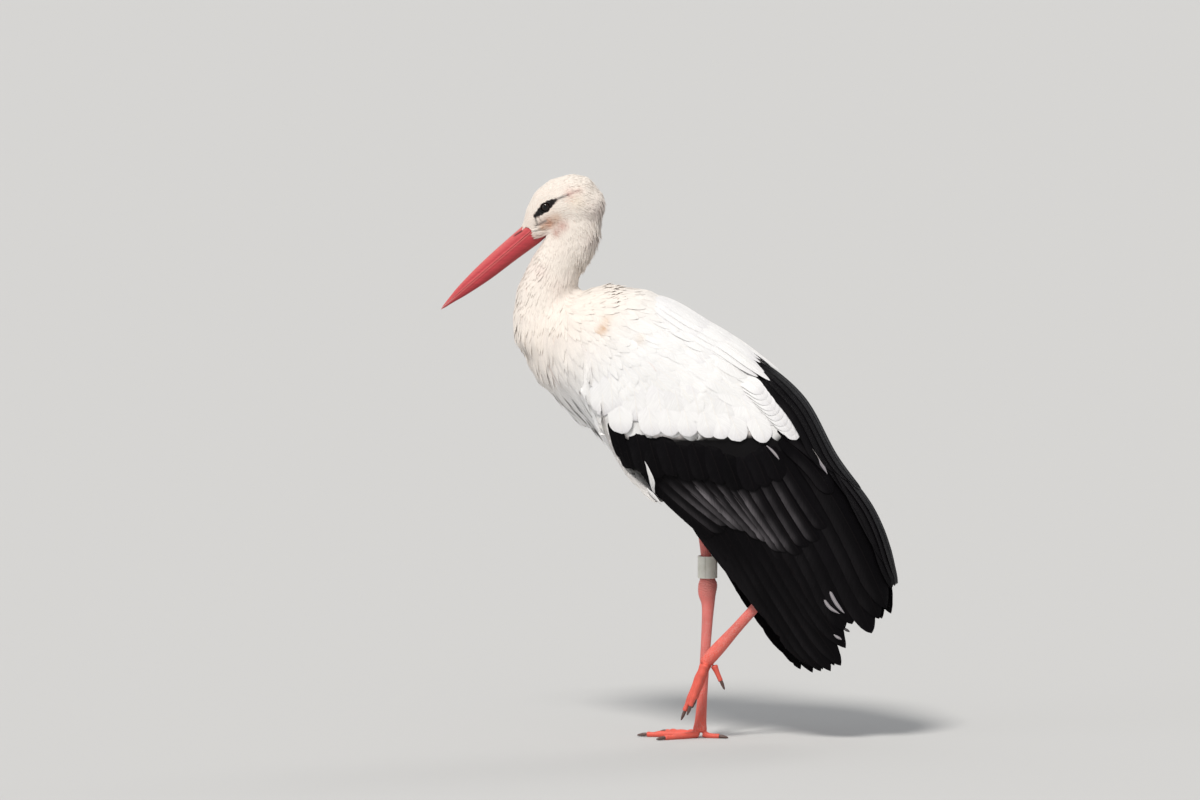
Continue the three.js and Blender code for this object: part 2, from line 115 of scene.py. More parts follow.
def outer_skin(mesh):
    """Takes out the small closed pockets inside a skin."""
    form = bmesh.new()
    form.from_mesh(mesh)
    front = [max(form.verts, key=lambda corner: corner.co.z)]
    outer = set(front)
    while front:
        corner = front.pop()
        for edge in corner.link_edges:
            other = edge.other_vert(corner)
            if other not in outer:
                outer.add(other)
                front.append(other)
    pockets = [corner for corner in form.verts if corner not in outer]
    bmesh.ops.delete(form, geom=pockets, context="VERTS")
    form.to_mesh(mesh)
    form.free()


def settle(form, name, grain, rounds):
    """Fuses overlapping closed forms into one mesh of even grain, and rounds it."""
    piece = link(name, mesh_of(form, name))
    remesh = piece.modifiers.new("fuse", "REMESH")
    remesh.mode = "VOXEL"
    remesh.voxel_size = grain
    smooth = piece.modifiers.new("round", "SMOOTH")
    smooth.factor = 0.5
    smooth.iterations = rounds
    finished = piece.evaluated_get(bpy.context.evaluated_depsgraph_get())
    settled = bpy.data.meshes.new_from_object(finished)
    piece.modifiers.clear()
    piece.data = settled
    outer_skin(settled)
    settled.polygons.foreach_set("use_smooth", np.ones(len(settled.polygons), bool))
    return piece


def fused(name, nodes, grain):
    """Copies of the named forms, swollen until they touch, fused into one closed mesh."""
    joined = bmesh.new()
    for node in nodes:
        copy = bmesh.new()
        copy.from_mesh(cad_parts[node].data)
        bmesh.ops.remove_doubles(copy, verts=copy.verts, dist=1e-5)
        bmesh.ops.recalc_face_normals(copy, faces=copy.faces)
        copy.normal_update()
        for vert in copy.verts:
            vert.co += vert.normal * SWELL
        part = mesh_of(copy, "part")
        joined.from_mesh(part)
        bpy.data.meshes.remove(part)
    return settle(joined, name, grain, SKIN_ROUNDS)


def smoothstep(value, start, end):
    """0 before start, 1 after end, and a smooth rise between them."""
    part = np.clip((value - start) / (end - start), 0.0, 1.0)
    return part * part * (3 - 2 * part)


def bell(gap, width):
    """1 where the gap is 0, falling off smoothly over the width."""
    return np.exp(-(gap / width) ** 2)


def mesh_arrays(mesh):
    """Places and normals of a mesh's corners, and its faces as triangles."""
    mesh.calc_loop_triangles()
    places = np.empty(len(mesh.vertices) * 3)
    mesh.vertices.foreach_get("co", places)
    normals = np.empty(len(mesh.vertices) * 3)
    mesh.vertex_normals.foreach_get("vector", normals)
    triangles = np.empty(len(mesh.loop_triangles) * 3, np.int32)
    mesh.loop_triangles.foreach_get("vertices", triangles)
    return places.reshape(-1, 3), normals.reshape(-1, 3), triangles.reshape(-1, 3)


# Where the skin lies deeper under the coat than elsewhere, or less deep: place (y, z), reach, depth.
HOLLOWS = [
    (-96, 772, 19, 5.0), (-152, 794, 17, 3.2), (-172, 784, 12, 1.5), (-92, 724, 18, -2.8),
    (-102, 690, 18, -1.2), (-186, 668, 17, -3.2), (-203, 640, 18, -4.0), (-212, 612, 18, -2.0),
    (-100, 630, 15, -4.5), (-208, 528, 30, 5.5), (-186, 486, 26, 3.0),
]
LEAST_DEPTH = 0.6
PLUMP = 0.34  # how much of a thin part's thickness its plumage takes at most
THICKEST = 0.2  # metres, more than any part
JUST_INSIDE = 0.0002


def coat_depth(places):
    """How deep the plumage is: least on the face, most on breast and back."""
    y, z = side_view(places)
    on_neck = smoothstep(z, 600, 670)
    on_head = smoothstep(z, 690, 735)
    on_face = on_head * smoothstep(-y, 120, 165)
    depth = 4.8 - 1.7 * on_neck - 0.5 * on_head - 1.1 * on_face
    for at_y, at_z, size, more in HOLLOWS:
        depth = depth + more * bell(np.hypot(y - at_y, z - at_z), size)
    return np.maximum(depth, LEAST_DEPTH) * MM


body = fused("body_skin", FLESH, SKIN_GRAIN)
places, normals, triangles = mesh_arrays(body.data)
solid_tree = BVHTree.FromPolygons(places.tolist(), triangles.tolist())
reach = np.empty(len(places))
for i, (place, normal) in enumerate(zip(places, normals)):
    hit = solid_tree.ray_cast(Vector(place - normal * JUST_INSIDE), Vector(-normal), THICKEST)
    reach[i] = hit[3] if hit[3] is not None else THICKEST
drawn_in = np.minimum(coat_depth(places), reach * PLUMP)
move_points(body.data, places - normals * drawn_in[:, None])

# The bare black skin runs forward and down from the eye and back in a thin streak: place (y, z) and
# reach of each part. The lids stand up round the eyeball as a slanting oval.
EYE = (15.4, -172.5, 745.0)
EYE_RADIUS = 7.6
BARE = [
    (-187, 732.5, 3.2), (-183.5, 735.5, 4.4), (-179.5, 739, 5.6), (-173, 744.5, 7.4),
    (-167.5, 749, 6.0), (-162.5, 752.5, 4.4), (-158, 755, 2.6),
]
LID_RADIUS = 5.9
LID_SLANT = math.radians(38)
LID_STRETCH = 1.14
LID_HEIGHT = 1.5  # over the eyeball
SOCKET_DEPTH = 1.6  # of the skin behind the eyeball's front
FACE_SIDE = 8  # the face turns to its side this far from the bird's middle plane


def bareness(places):
    """1 on the bare skin of the face, 0 where feathers grow."""
    y, z = side_view(places)
    part = np.zeros(len(places))
    for bare_y, bare_z, size in BARE:
        gap = np.hypot(y - bare_y, z - bare_z)
        part = np.maximum(part, 1 - smoothstep(gap, size - 0.8, size + 0.8))
    return part * (np.abs(places[:, 0]) > FACE_SIDE * MM)


def lid_gap(y, z):
    """Distance from the eye's middle, measured on the slanting oval of the lids."""
    along = (y - EYE[1]) * math.cos(LID_SLANT) + (z - EYE[2]) * math.sin(LID_SLANT)
    across = (z - EYE[2]) * math.cos(LID_SLANT) - (y - EYE[1]) * math.sin(LID_SLANT)
    return np.hypot(along / LID_STRETCH, across * LID_STRETCH)


face = bmesh.new()
face.from_mesh(body.data)
for fineness in (0.026, 0.013):
    near_eye = []
    for edge in face.edges:
        x, y, z = edge.verts[0].co
        if abs(x) > 0.006 and math.hypot(y - EYE[1] * MM - SHIFT_Y, z - EYE[2] * MM) < fineness:
            near_eye.append(edge)
    bmesh.ops.subdivide_edges(face, edges=near_eye, cuts=1, use_grid_fill=True, smooth=0.4)
bmesh.ops.triangulate(face, faces=[f for f in face.faces if len(f.verts) > 4])
face.to_mesh(body.data)
face.free()
places, normals, triangles = mesh_arrays(body.data)
y, z = side_view(places)
gap = lid_gap(y, z)
out = np.abs(places[:, 0]) / MM
ball = EYE[0] + np.sqrt(EYE_RADIUS ** 2 - np.minimum(gap, EYE_RADIUS - 0.2) ** 2)
lid = EYE[0] + math.sqrt(EYE_RADIUS ** 2 - LID_RADIUS ** 2) + LID_HEIGHT
on_face = (out > 10) & (gap < 16)
ridge = bell(gap - LID_RADIUS - 0.7, 1.15)
crease = 0.35 * bell(gap - LID_RADIUS - 4.4, 0.8) - 0.7 * bell(gap - LID_RADIUS - 2.9, 0.8)
lids = out + (lid - out) * ridge + crease * bareness(places)
wanted = np.where(gap < LID_RADIUS - 0.2, ball - SOCKET_DEPTH, lids)
places[:, 0] = np.sign(places[:, 0]) * np.where(on_face, wanted, out) * MM
body.data.polygons.foreach_set("use_smooth", np.ones(len(body.data.polygons), bool))
move_points(body.data, places)

# The skin's own unwrap, where each feather later takes its patch.
bpy.context.view_layer.objects.active = body
body.select_set(True)
bpy.ops.object.mode_set(mode="EDIT")
bpy.ops.mesh.select_all(action="SELECT")
bpy.ops.uv.smart_project(angle_limit=math.radians(66), island_margin=0.002)
bpy.ops.object.mode_set(mode="OBJECT")
body.select_set(False)
body.data.uv_layers[0].name = "OFBake"

# ------------------------------------------------------------------------------- body plumage
# Some thousands of contour feathers root in the skin and lie back over it like tiles: scale-like on
# the face, hair-fine down the neck, long and pointed on the breast, broad and round on the wing.

# The lie of the coat in side view: place (y, z), direction (y, z), then length, width, how far the
# tip lifts, how pointed it is, and how far it leaves the body's curve.
LIE = np.array([
    (-207, 716, 0.60, 0.80, 4.0, 1.7, 0.5, 0.6, 0.0),
    (-194, 745, 0.55, 0.83, 5.5, 1.9, 0.6, 0.6, 0.0),
    (-168, 785, 0.97, 0.25, 7.0, 2.1, 0.7, 0.7, 0.0),
    (-130, 797, 1.00, -0.05, 10.0, 2.5, 1.2, 0.9, 0.15),
    (-100, 785, 0.84, -0.54, 15.0, 2.9, 2.0, 1.0, 0.35),
    (-86, 757, 0.36, -0.93, 21.0, 3.4, 2.6, 1.0, 0.35),
    (-92, 722, 0.02, -1.00, 24.0, 3.8, 5.2, 1.0, 0.45),
    (-104, 682, -0.18, -0.98, 24.0, 4.0, 4.0, 1.0, 0.35),
    (-122, 648, -0.10, -1.00, 22.0, 4.5, 1.4, 0.9, 0.1),
    (-188, 722, 0.80, -0.30, 3.6, 1.6, 0.4, 0.6, 0.0),
    (-176, 760, 0.90, 0.30, 5.0, 1.8, 0.5, 0.6, 0.0),
    (-150, 748, 1.00, -0.05, 7.0, 2.1, 0.6, 0.7, 0.0),
    (-118, 752, 0.85, -0.52, 11.0, 2.5, 1.0, 0.9, 0.1),
    (-165, 718, 0.85, -0.45, 6.5, 2.1, 0.8, 0.8, 0.05),
    (-138, 715, 0.35, -0.94, 11.0, 2.6, 0.9, 0.9, 0.1),
    (-184, 704, 0.75, -0.66, 6.0, 2.0, 0.9, 0.9, 0.15),
    (-176, 684, 0.05, -1.00, 12.0, 3.0, 1.4, 1.0, 0.2),
    (-165, 690, 0.10, -1.00, 10.0, 2.5, 0.8, 0.9, 0.1),
    (-145, 675, -0.15, -0.99, 16.0, 3.1, 0.9, 1.0, 0.1),
    (-186, 660, -0.34, -0.94, 22.0, 5.2, 1.5, 0.7, 0.25),
    (-150, 640, -0.18, -0.98, 22.0, 4.8, 0.8, 0.7, 0.1),
    (-204, 628, -0.12, -0.99, 28.0, 6.8, 1.5, 0.7, 0.2),
    (-165, 605, -0.05, -1.00, 30.0, 6.8, 0.9, 0.7, 0.1),
    (-218, 590, 0.04, -1.00, 44.0, 10.5, 1.6, 0.75, 0.15),
    (-178, 565, 0.04, -1.00, 60.0, 14.0, 1.6, 0.8, 0.05),
    (-208, 545, 0.28, -0.96, 66.0, 15.0, 1.8, 0.9, 0.1),
    (-184, 505, 0.45, -0.89, 82.0, 17.0, 2.0, 0.9, 0.12),
    (-150, 515, 0.36, -0.93, 84.0, 18.0, 1.8, 0.8, 0.1),
    (-158, 465, 0.56, -0.83, 74.0, 16.0, 3.0, 0.9, 0.25),
    (-122, 440, 0.62, -0.78, 62.0, 14.0, 2.6, 0.9, 0.2),
    (-118, 545, 0.30, -0.95, 60.0, 16.0, 1.5, 0.7, 0.05),
    (-122, 622, 0.60, 0.10, 28.0, 9.0, 1.4, 0.5, 0.15),
    (-104, 640, 0.82, 0.36, 26.0, 12.0, 2.6, 0.6, 0.45),
    (-78, 645, 0.95, 0.02, 30.0, 15.0, 1.5, 0.45, 0.3),
    (-45, 632, 0.97, -0.25, 38.0, 17.0, 0.9, 0.4, 0.05),
    (-5, 612, 0.92, -0.40, 42.0, 19.0, 0.9, 0.3, 0.1),
    (-108, 585, 0.72, -0.69, 44.0, 15.0, 1.2, 0.7, 0.08),
    (-60, 582, 0.87, -0.50, 50.0, 22.0, 0.9, 0.4, 0.05),
    (0, 572, 0.88, -0.48, 56.0, 25.0, 0.8, 0.3, 0.0),
    (60, 542, 0.88, -0.48, 60.0, 26.0, 0.8, 0.3, 0.0),
    (110, 520, 0.86, -0.50, 60.0, 24.0, 0.8, 0.5, 0.0),
    (-92, 500, 0.45, -0.90, 32.0, 19.0, 0.9, 0.2, 0.0),
    (-40, 490, 0.60, -0.80, 36.0, 23.0, 0.8, 0.1, 0.0),
    (30, 470, 0.65, -0.75, 36.0, 24.0, 0.8, 0.1, 0.0),
    (100, 460, 0.70, -0.71, 36.0, 23.0, 0.8, 0.1, 0.0),
    (160, 448, 0.76, -0.65, 34.0, 20.0, 0.8, 0.3, 0.0),
    (-72, 442, 0.35, -0.94, 32.0, 20.0, 0.8, 0.2, 0.0),
    (-100, 400, 0.80, -0.60, 48.0, 12.0, 2.5, 0.9, 0.1),
    (-40, 370, 0.85, -0.52, 42.0, 12.0, 2.2, 0.8, 0.1),
    (30, 330, 0.84, -0.54, 36.0, 11.0, 2.2, 0.7, 0.1),
    (100, 290, 0.80, -0.60, 34.0, 11.0, 2.2, 0.6, 0.1),
    (175, 262, 0.74, -0.67, 34.0, 12.0, 2.2, 0.5, 0.1),
])
LIE_BLEND = 3.0  # higher keeps each row's values closer to its own place
LIE_SOFT = 9.0  # square millimetres, evens the values out close to a row's own place


def lie_at(places):
    """The coat's directions and sizes at these places, blended from the nearest rows of LIE."""
    flat = np.stack(side_view(places), axis=1)
    gaps = ((flat[:, None, :] - LIE[None, :, :2]) ** 2).sum(2) + LIE_SOFT
    weights = gaps ** -LIE_BLEND
    weights /= weights.sum(1, keepdims=True)
    return weights @ LIE[:, 2:]


class Ground:
    """A closed surface that feathers root in and lie along."""

    def __init__(self, mesh):
        self.places, self.normals, self.triangles = mesh_arrays(mesh)
        self.tree = BVHTree.FromPolygons(self.places.tolist(), self.triangles.tolist())
        loops = np.empty(len(self.triangles) * 3, np.int32)
        mesh.loop_triangles.foreach_get("loops", loops)
        unwrap = np.empty(len(mesh.loops) * 2, np.float32)
        mesh.uv_layers["OFBake"].uv.foreach_get("vector", unwrap)
        self.unwrap = unwrap.reshape(-1, 2)[loops].reshape(-1, 3, 2)

    def drop(self, points):
        """The nearest places on the surface, with smooth normals."""
        feet = np.empty_like(points)
        faces = np.empty(len(points), np.int64)
        for i, point in enumerate(points.tolist()):
            foot, _, face, _ = self.tree.find_nearest(point)
            feet[i] = foot
            faces[i] = face
        near, corners = self.shares(feet, faces)
        return feet, unit((self.normals[corners] * near[..., None]).sum(1))

    def shares(self, feet, faces):
        """How near each foot is to the corners of its face."""
        corners = self.triangles[faces]
        near = 1.0 / (np.linalg.norm(self.places[corners] - feet[:, None, :], axis=2) + 1e-5)
        return near / near.sum(1, keepdims=True), corners

    def unwrap_at(self, points):
        """Where these points lie on the skin's unwrap."""
        hits = [self.tree.find_nearest(point) for point in points.tolist()]
        feet = np.array([hit[0] for hit in hits])
        faces = np.array([hit[2] for hit in hits])
        near, _ = self.shares(feet, faces)
        return (self.unwrap[faces] * near[..., None]).sum(1)


def unit(vectors):
    """The same directions, all of length one."""
    return vectors / np.maximum(np.linalg.norm(vectors, axis=-1, keepdims=True), 1e-12)


TRIES = 7  # places tried for each one wanted


def scatter(ground, spacing_at, allowed, rng):
    """Places on the surface, nowhere closer together than the spacing asked for there."""
    corners = ground.places[ground.triangles]
    middles = corners.mean(1)
    crossed = np.cross(corners[:, 1] - corners[:, 0], corners[:, 2] - corners[:, 0])
    areas = np.linalg.norm(crossed, axis=1) / 2
    spacing = spacing_at(middles)
    wanted = np.where(allowed(middles), areas / spacing ** 2, 0.0)
    count = int(wanted.sum() * TRIES)
    chosen = rng.choice(len(middles), count, p=wanted / wanted.sum())
    mix = rng.dirichlet((1, 1, 1), count)
    points = (corners[chosen] * mix[..., None]).sum(1)
    room = spacing[chosen]
    tree = KDTree(count)
    for i, point in enumerate(points.tolist()):
        tree.insert(point, i)
    tree.balance()
    taken = np.zeros(count, bool)
    kept = []
    for i in range(count):
        if taken[i]:
            continue
        kept.append(i)
        for _, other, _ in tree.find_range(points[i], room[i]):
            taken[other] = True
    return points[kept]


def rows_at(rows):
    """Places of the rows along a feather, closer together towards the tip."""
    return 1.0 - (1.0 - np.linspace(0.0, 1.0, rows)) ** 1.35


def laid(places, normals):
    """The lie of the coat at these places, laid along the surface."""
    heading = np.concatenate([np.zeros((len(places), 1)), lie_at(places)[:, :2]], axis=1)
    return unit(heading - normals * (heading * normals).sum(1, keepdims=True))


SWAY = 0.12  # how much neighbouring feathers differ in direction
STEER = 0.3  # how readily a feather turns to the lie of the coat along its length


def trail(ground, roots, lengths, free, rows, rng):
    """Centre lines that start at the roots and follow the lie of the coat over the surface. `free` is
    how far each leaves the surface for a straight course of its own."""
    along = rows_at(rows)
    foot, normal = ground.drop(roots)
    heading = laid(foot, normal)
    heading = unit(heading + np.cross(normal, heading) * rng.normal(0, SWAY, (len(foot), 1)))
    straight = foot[:, None, :] + heading[:, None, :] * (lengths[:, None] * along[None, :])[..., None]
    line, ups = [foot], [normal]
    for row in range(1, rows):
        step = lengths * (along[row] - along[row - 1])
        foot, normal = ground.drop(foot + heading * step[:, None])
        heading = unit(heading + STEER * laid(foot, normal))
        heading = unit(heading - normal * (heading * normal).sum(1, keepdims=True))
        line.append(foot)
        ups.append(normal)
    line = np.array(line).transpose(1, 0, 2)
    ups = np.array(ups).transpose(1, 0, 2)
    leave = (free[:, None] * along[None, :])[..., None]
    return line + (straight - line) * leave, ups


PATCH = 0.003  # room of one feather on the skin's unwrap
VANE_SCALE = 100.0  # the vane map counts in centimetres

# Cross sections of soft feathers: places across, from edge to edge and back underneath, and upwards.
THIN = np.array([(-1, 0), (0, 1), (1, 0), (0, -0.6)], float)
BROAD = np.array([(-1, 0), (-0.45, 0.8), (0, 1.3), (0.45, 0.8), (1, 0), (0, -1)], float)


def outline(rows, point, taper_from):
    """Half width at each row of each feather, from its pointedness and where it begins to taper."""
    along = rows_at(rows)[None, :]
    point = np.atleast_1d(point)[:, None]
    start = np.atleast_1d(taper_from)[:, None]
    swell = 0.42 + 0.58 * smoothstep(along, 0.0, 0.4)
    past = np.clip((along - start) / (1 - start), 0.0, 1.0)
    taper = (1 - past ** (2.2 - point)) ** (0.5 + 0.45 * point)
    return swell * taper


def feathers(name, line, ups, half, thick, section, camber, tint, material, lean=0.0, edges=None,
             mirror=False):
    """One mesh of closed, thin feathers. `line` and `ups` are rows of centres and upward directions,
    `half` their half widths, `camber` how far the edges bow down, `lean` how far the feather is tilted,
    `tint` a colour for each row, or for each point of each section, and `edges` a factor on the width
    of each side. With `mirror` the whole mesh is changed over to the other side of the bird."""
    root_uv = skin.unwrap_at(line[:, 0] * (-1 if mirror else 1, 1, 1))
    count, rows, _ = line.shape
    around = len(section)
    used = rows - 1
    ahead = unit(np.gradient(line, axis=1))
    across = unit(np.cross(ahead, ups))
    ups = unit(np.cross(across, ahead))
    u, h = section[:, 0], section[:, 1]
    side = half[..., None] * u
    if edges is not None:
        side = side * np.where(u < 0, edges[..., :1], edges[..., 1:])
    fade = np.minimum(1.0, half / (half.max(1, keepdims=True) * 0.5 + 1e-9))
    rise = thick * fade[..., None] * h - camber * half[..., None] * u ** 2 + lean * side
    ring = line[:, :, None] + across[:, :, None] * side[..., None] + ups[:, :, None] * rise[..., None]
    root = line[:, :1] - ahead[:, :1] * half[:, :1, None] * 0.5
    points = np.concatenate([ring[:, :-1].reshape(count, used * around, 3), root, line[:, -1:]], axis=1)
    per = used * around + 2
    quads, caps = [], []
    for k in range(around):
        nxt = (k + 1) % around
        for row in range(0, (used - 1) * around, around):
            quads.append((row + k, row + nxt, row + around + nxt, row + around + k))
        last = (used - 1) * around
        caps += [(per - 2, nxt, k), (per - 1, last + k, last + nxt)]
    if mirror:
        points[..., 0] *= -1
        quads = [quad[::-1] for quad in quads]
        caps = [cap[::-1] for cap in caps]
    offsets = (np.arange(count) * per)[:, None, None]
    quads = np.array(quads)[None] + offsets
    caps = np.array(caps)[None] + offsets
    corners = np.concatenate([quads.ravel(), caps.ravel()]).astype(np.int32)
    starts = np.concatenate([np.arange(quads.size // 4) * 4, quads.size + np.arange(caps.size // 3) * 3])
    mesh = bpy.data.meshes.new(name)
    mesh.vertices.add(count * per)
    mesh.vertices.foreach_set("co", points.ravel())
    mesh.loops.add(len(corners))
    mesh.loops.foreach_set("vertex_index", corners)
    mesh.polygons.add(len(starts))
    mesh.polygons.foreach_set("loop_start", starts.astype(np.int32))
    mesh.polygons.foreach_set("use_smooth", np.ones(len(starts), bool))
    mesh.update(calc_edges=True)
    # The margins are crisp edges, so that the upper face shades as one smooth web.
    ends = np.empty(len(mesh.edges) * 2, np.int32)
    mesh.edges.foreach_get("vertices", ends)
    local = ends.reshape(-1, 2) % per
    at_tip = local == per - 1
    on_margin = (np.isin(local % around, np.flatnonzero(np.abs(u) == 1)) & (local < used * around)) | at_tip
    same = (local[:, 0] % around == local[:, 1] % around) | at_tip.any(1)
    sharp = mesh.attributes.new("sharp_edge", "BOOLEAN", "EDGE")
    sharp.data.foreach_set("value", on_margin.all(1) & same)

    vane = np.empty((count, per, 2))
    vane[:, :-2, 0] = np.tile(u, used)
    vane[:, :-2, 1] = np.repeat(rows_at(rows)[:-1], around)
    vane[:, -2] = (0.0, 0.0)
    vane[:, -1] = (0.0, 1.0)
    patch = root_uv[:, None] + (vane * (0.5, 1.0) - (0.0, 0.5)) * PATCH
    size = np.stack([half.max(1), np.linalg.norm(np.diff(line, axis=1), axis=2).sum(1)], axis=1)
    for layer_name, values in (("OFBake", patch), ("vane", vane * size[:, None] * VANE_SCALE)):
        layer = mesh.uv_layers.new(name=layer_name)
        layer.uv.foreach_set("vector", values.reshape(-1, 2)[corners].ravel())
    if tint.ndim == 3:
        tint = np.repeat(tint[:, :, None], around, axis=2)
    colours = np.ones((count, per, 4))
    colours[:, :-2, :3] = tint[:, :-1].reshape(count, used * around, 3)
    colours[:, -2, :3] = tint[:, 0, 0]
    colours[:, -1, :3] = tint[:, -1].mean(1)
    colours[..., 3] = np.random.RandomState(count).rand(count)[:, None]
    attribute = mesh.attributes.new("tint", "FLOAT_COLOR", "POINT")
    attribute.data.foreach_set("color", colours.ravel())
    mesh.materials.append(material)
    piece = link(name, mesh)
    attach(piece, "root")
    return piece


# Colours of the plumage, SHADE the lavender grey of painted shade, and where it is stained or darkened by
# painted shade: place (y, z), reach, strength and colour.
WHITE = np.array((0.82, 0.81, 0.80))
CREAM = np.array((0.79, 0.715, 0.645))
SHADE = np.array((0.60, 0.575, 0.62))
BLACK = np.array((0.0030, 0.0025, 0.0032))
STAINS_AND_SHADE = [
    (-167, 723, 8.5, 1.0, (0.46, 0.17, 0.08)),
    (-177, 717, 6.0, 0.75, (0.52, 0.25, 0.13)),
    (-157, 729, 9.0, 0.70, (0.62, 0.38, 0.25)),
    (-148, 719, 8.0, 0.80, (0.46, 0.21, 0.17)),
    (-157, 709, 6.5, 0.80, (0.40, 0.18, 0.14)),
    (-138, 764, 8.0, 0.60, (0.66, 0.36, 0.31)),
    (-124, 768, 6.0, 0.35, (0.64, 0.38, 0.32)),
    (-128, 754, 11.0, 0.38, (0.70, 0.55, 0.38)),
    # Painted shade: these two darken the nape and the back of the neck to a greyish brown.
    (-96, 738, 17.0, 0.55, (0.48, 0.38, 0.36)),
    (-106, 694, 15.0, 0.40, (0.54, 0.44, 0.42)),
    (-84, 579, 7.0, 0.75, (0.50, 0.28, 0.13)),
    (-78, 592, 8.0, 0.40, (0.62, 0.40, 0.24)),
    (-30, 566, 7.0, 0.30, (0.66, 0.50, 0.36)),
    (-178, 655, 12.0, 0.26, (0.70, 0.50, 0.46)),
    (-152, 632, 16.0, 0.22, (0.70, 0.52, 0.46)),
    (-150, 690, 14.0, 0.16, (0.70, 0.56, 0.50)),
]
# Dark lines of the face: start and end (y, z), half width, strength and colour.
FACE_LINES = [
    ((-160, 755), (-140, 763), 1.7, 0.95, (0.03, 0.012, 0.02)),
    ((-140, 763), (-126, 769), 1.5, 0.65, (0.26, 0.08, 0.07)),
    ((-188, 733), (-185, 722), 1.5, 0.9, (0.05, 0.03, 0.03)),
    ((-187, 718), (-172, 726), 1.5, 0.95, (0.05, 0.02, 0.02)),
    ((-183, 732), (-178, 724), 1.1, 0.6, (0.20, 0.10, 0.08)),
]
# Where the black begins under the white coverts (y, z), and the rear end of the white (z, y).
BLACK_FROM = [(-90, 422), (-62, 432), (0, 434), (100, 438), (150, 440), (196, 432)]
WHITE_TO = [(430, 180), (480, 150), (507, 138), (550, 108), (600, 40), (640, -20)]


def mixed(colour, other, part):
    """One colour changed over to another by part."""
    return colour + (np.asarray(other) - colour) * part


def past_white(places):
    """Whether the wing or back at these places is covered by the long black feathers."""
    y, z = side_view(places)
    return (z > 425) & (y > np.interp(z, *zip(*WHITE_TO)))


def under_black(places):
    """1 where the wing's skin lies under black feathers."""
    y, z = side_view(places)
    edge = np.interp(y, *zip(*BLACK_FROM))
    on_wing = smoothstep(np.abs(places[:, 0]) / MM, 44, 50) * smoothstep(y, -92, -84)
    return on_wing * (1 - smoothstep(z - edge, -8, 0))


def markings(places):
    """Colour of the bird's skin and contour feathers at these places."""
    y, z = side_view(places)
    warmth = smoothstep(z + 0.9 * -y, 560, 720)
    colour = mixed(WHITE, CREAM, warmth[:, None])
    # Stains, and painted shade on the nape and the back of the neck.
    for spot_y, spot_z, size, strength, spot_colour in STAINS_AND_SHADE:
        gap = np.hypot(y - spot_y, z - spot_z)
        colour = mixed(colour, spot_colour, (strength * bell(gap, size))[:, None])
    for start, end, size, strength, line_colour in FACE_LINES:
        run_y, run_z = end[0] - start[0], end[1] - start[1]
        part = ((y - start[0]) * run_y + (z - start[1]) * run_z) / (run_y ** 2 + run_z ** 2)
        part = np.clip(part, 0, 1)
        gap = np.hypot(y - start[0] - part * run_y, z - start[1] - part * run_z)
        colour = mixed(colour, line_colour, (strength * bell(gap, size))[:, None])
    return mixed(colour, BLACK, under_black(places)[:, None])


def set_inputs(node, inputs):
    """Sets the inputs of a shader node, each to a value or to the output of another node."""
    for key, value in inputs.items():
        if isinstance(value, bpy.types.NodeSocket):
            node.id_data.links.new(value, node.inputs[key])
        else:
            node.inputs[key].default_value = value


def node_of(tree, kind, inputs, settings=None):
    """A shader node with its inputs and settings."""
    node = tree.nodes.new("ShaderNode" + kind)
    for key, value in (settings or {}).items():
        setattr(node, key, value)
    set_inputs(node, inputs)
    return node


def sums(tree, operation, *values):
    """The result of a maths node."""
    return node_of(tree, "Math", dict(enumerate(values)), {"operation": operation}).outputs[0]


def painted(tree, name="tint"):
    """What is painted on the piece under this name."""
    return node_of(tree, "Attribute", {}, {"attribute_name": name}).outputs


def own_place(tree):
    """Places in the piece's own frame."""
    return node_of(tree, "TexCoord", {}).outputs["Object"]


def noise(tree, place, scale, detail, rough=0.5):
    """Cloudy noise between 0 and 1."""
    inputs = {"Vector": place, "Scale": scale, "Detail": detail, "Roughness": rough}
    return node_of(tree, "TexNoise", inputs).outputs["Fac"]


def scaled(tree, colour, factor):
    """A colour made lighter or darker by a factor."""
    return node_of(tree, "VectorMath", {0: colour, "Scale": factor}, {"operation": "SCALE"}).outputs[0]


def blended(tree, part, colour, other):
    """A colour changed over to another one by part."""
    inputs = {"Factor": part, "A": colour, "B": (*other, 1)}
    return node_of(tree, "Mix", inputs, {"data_type": "RGBA"}).outputs["Result"]


def relief(tree, height, strength, distance):
    """The normals of a fine relief."""
    return node_of(tree, "Bump", {"Height": height, "Strength": strength, "Distance": distance}).outputs[0]


def blank(name):
    """A new material and its nodes."""
    material = bpy.data.materials.new(name)
    material.use_nodes = True
    return material, material.node_tree


def dressed(material, inputs):
    """The material with the inputs of its shader set."""
    set_inputs(material.node_tree.nodes["Principled BSDF"], inputs)
    return material


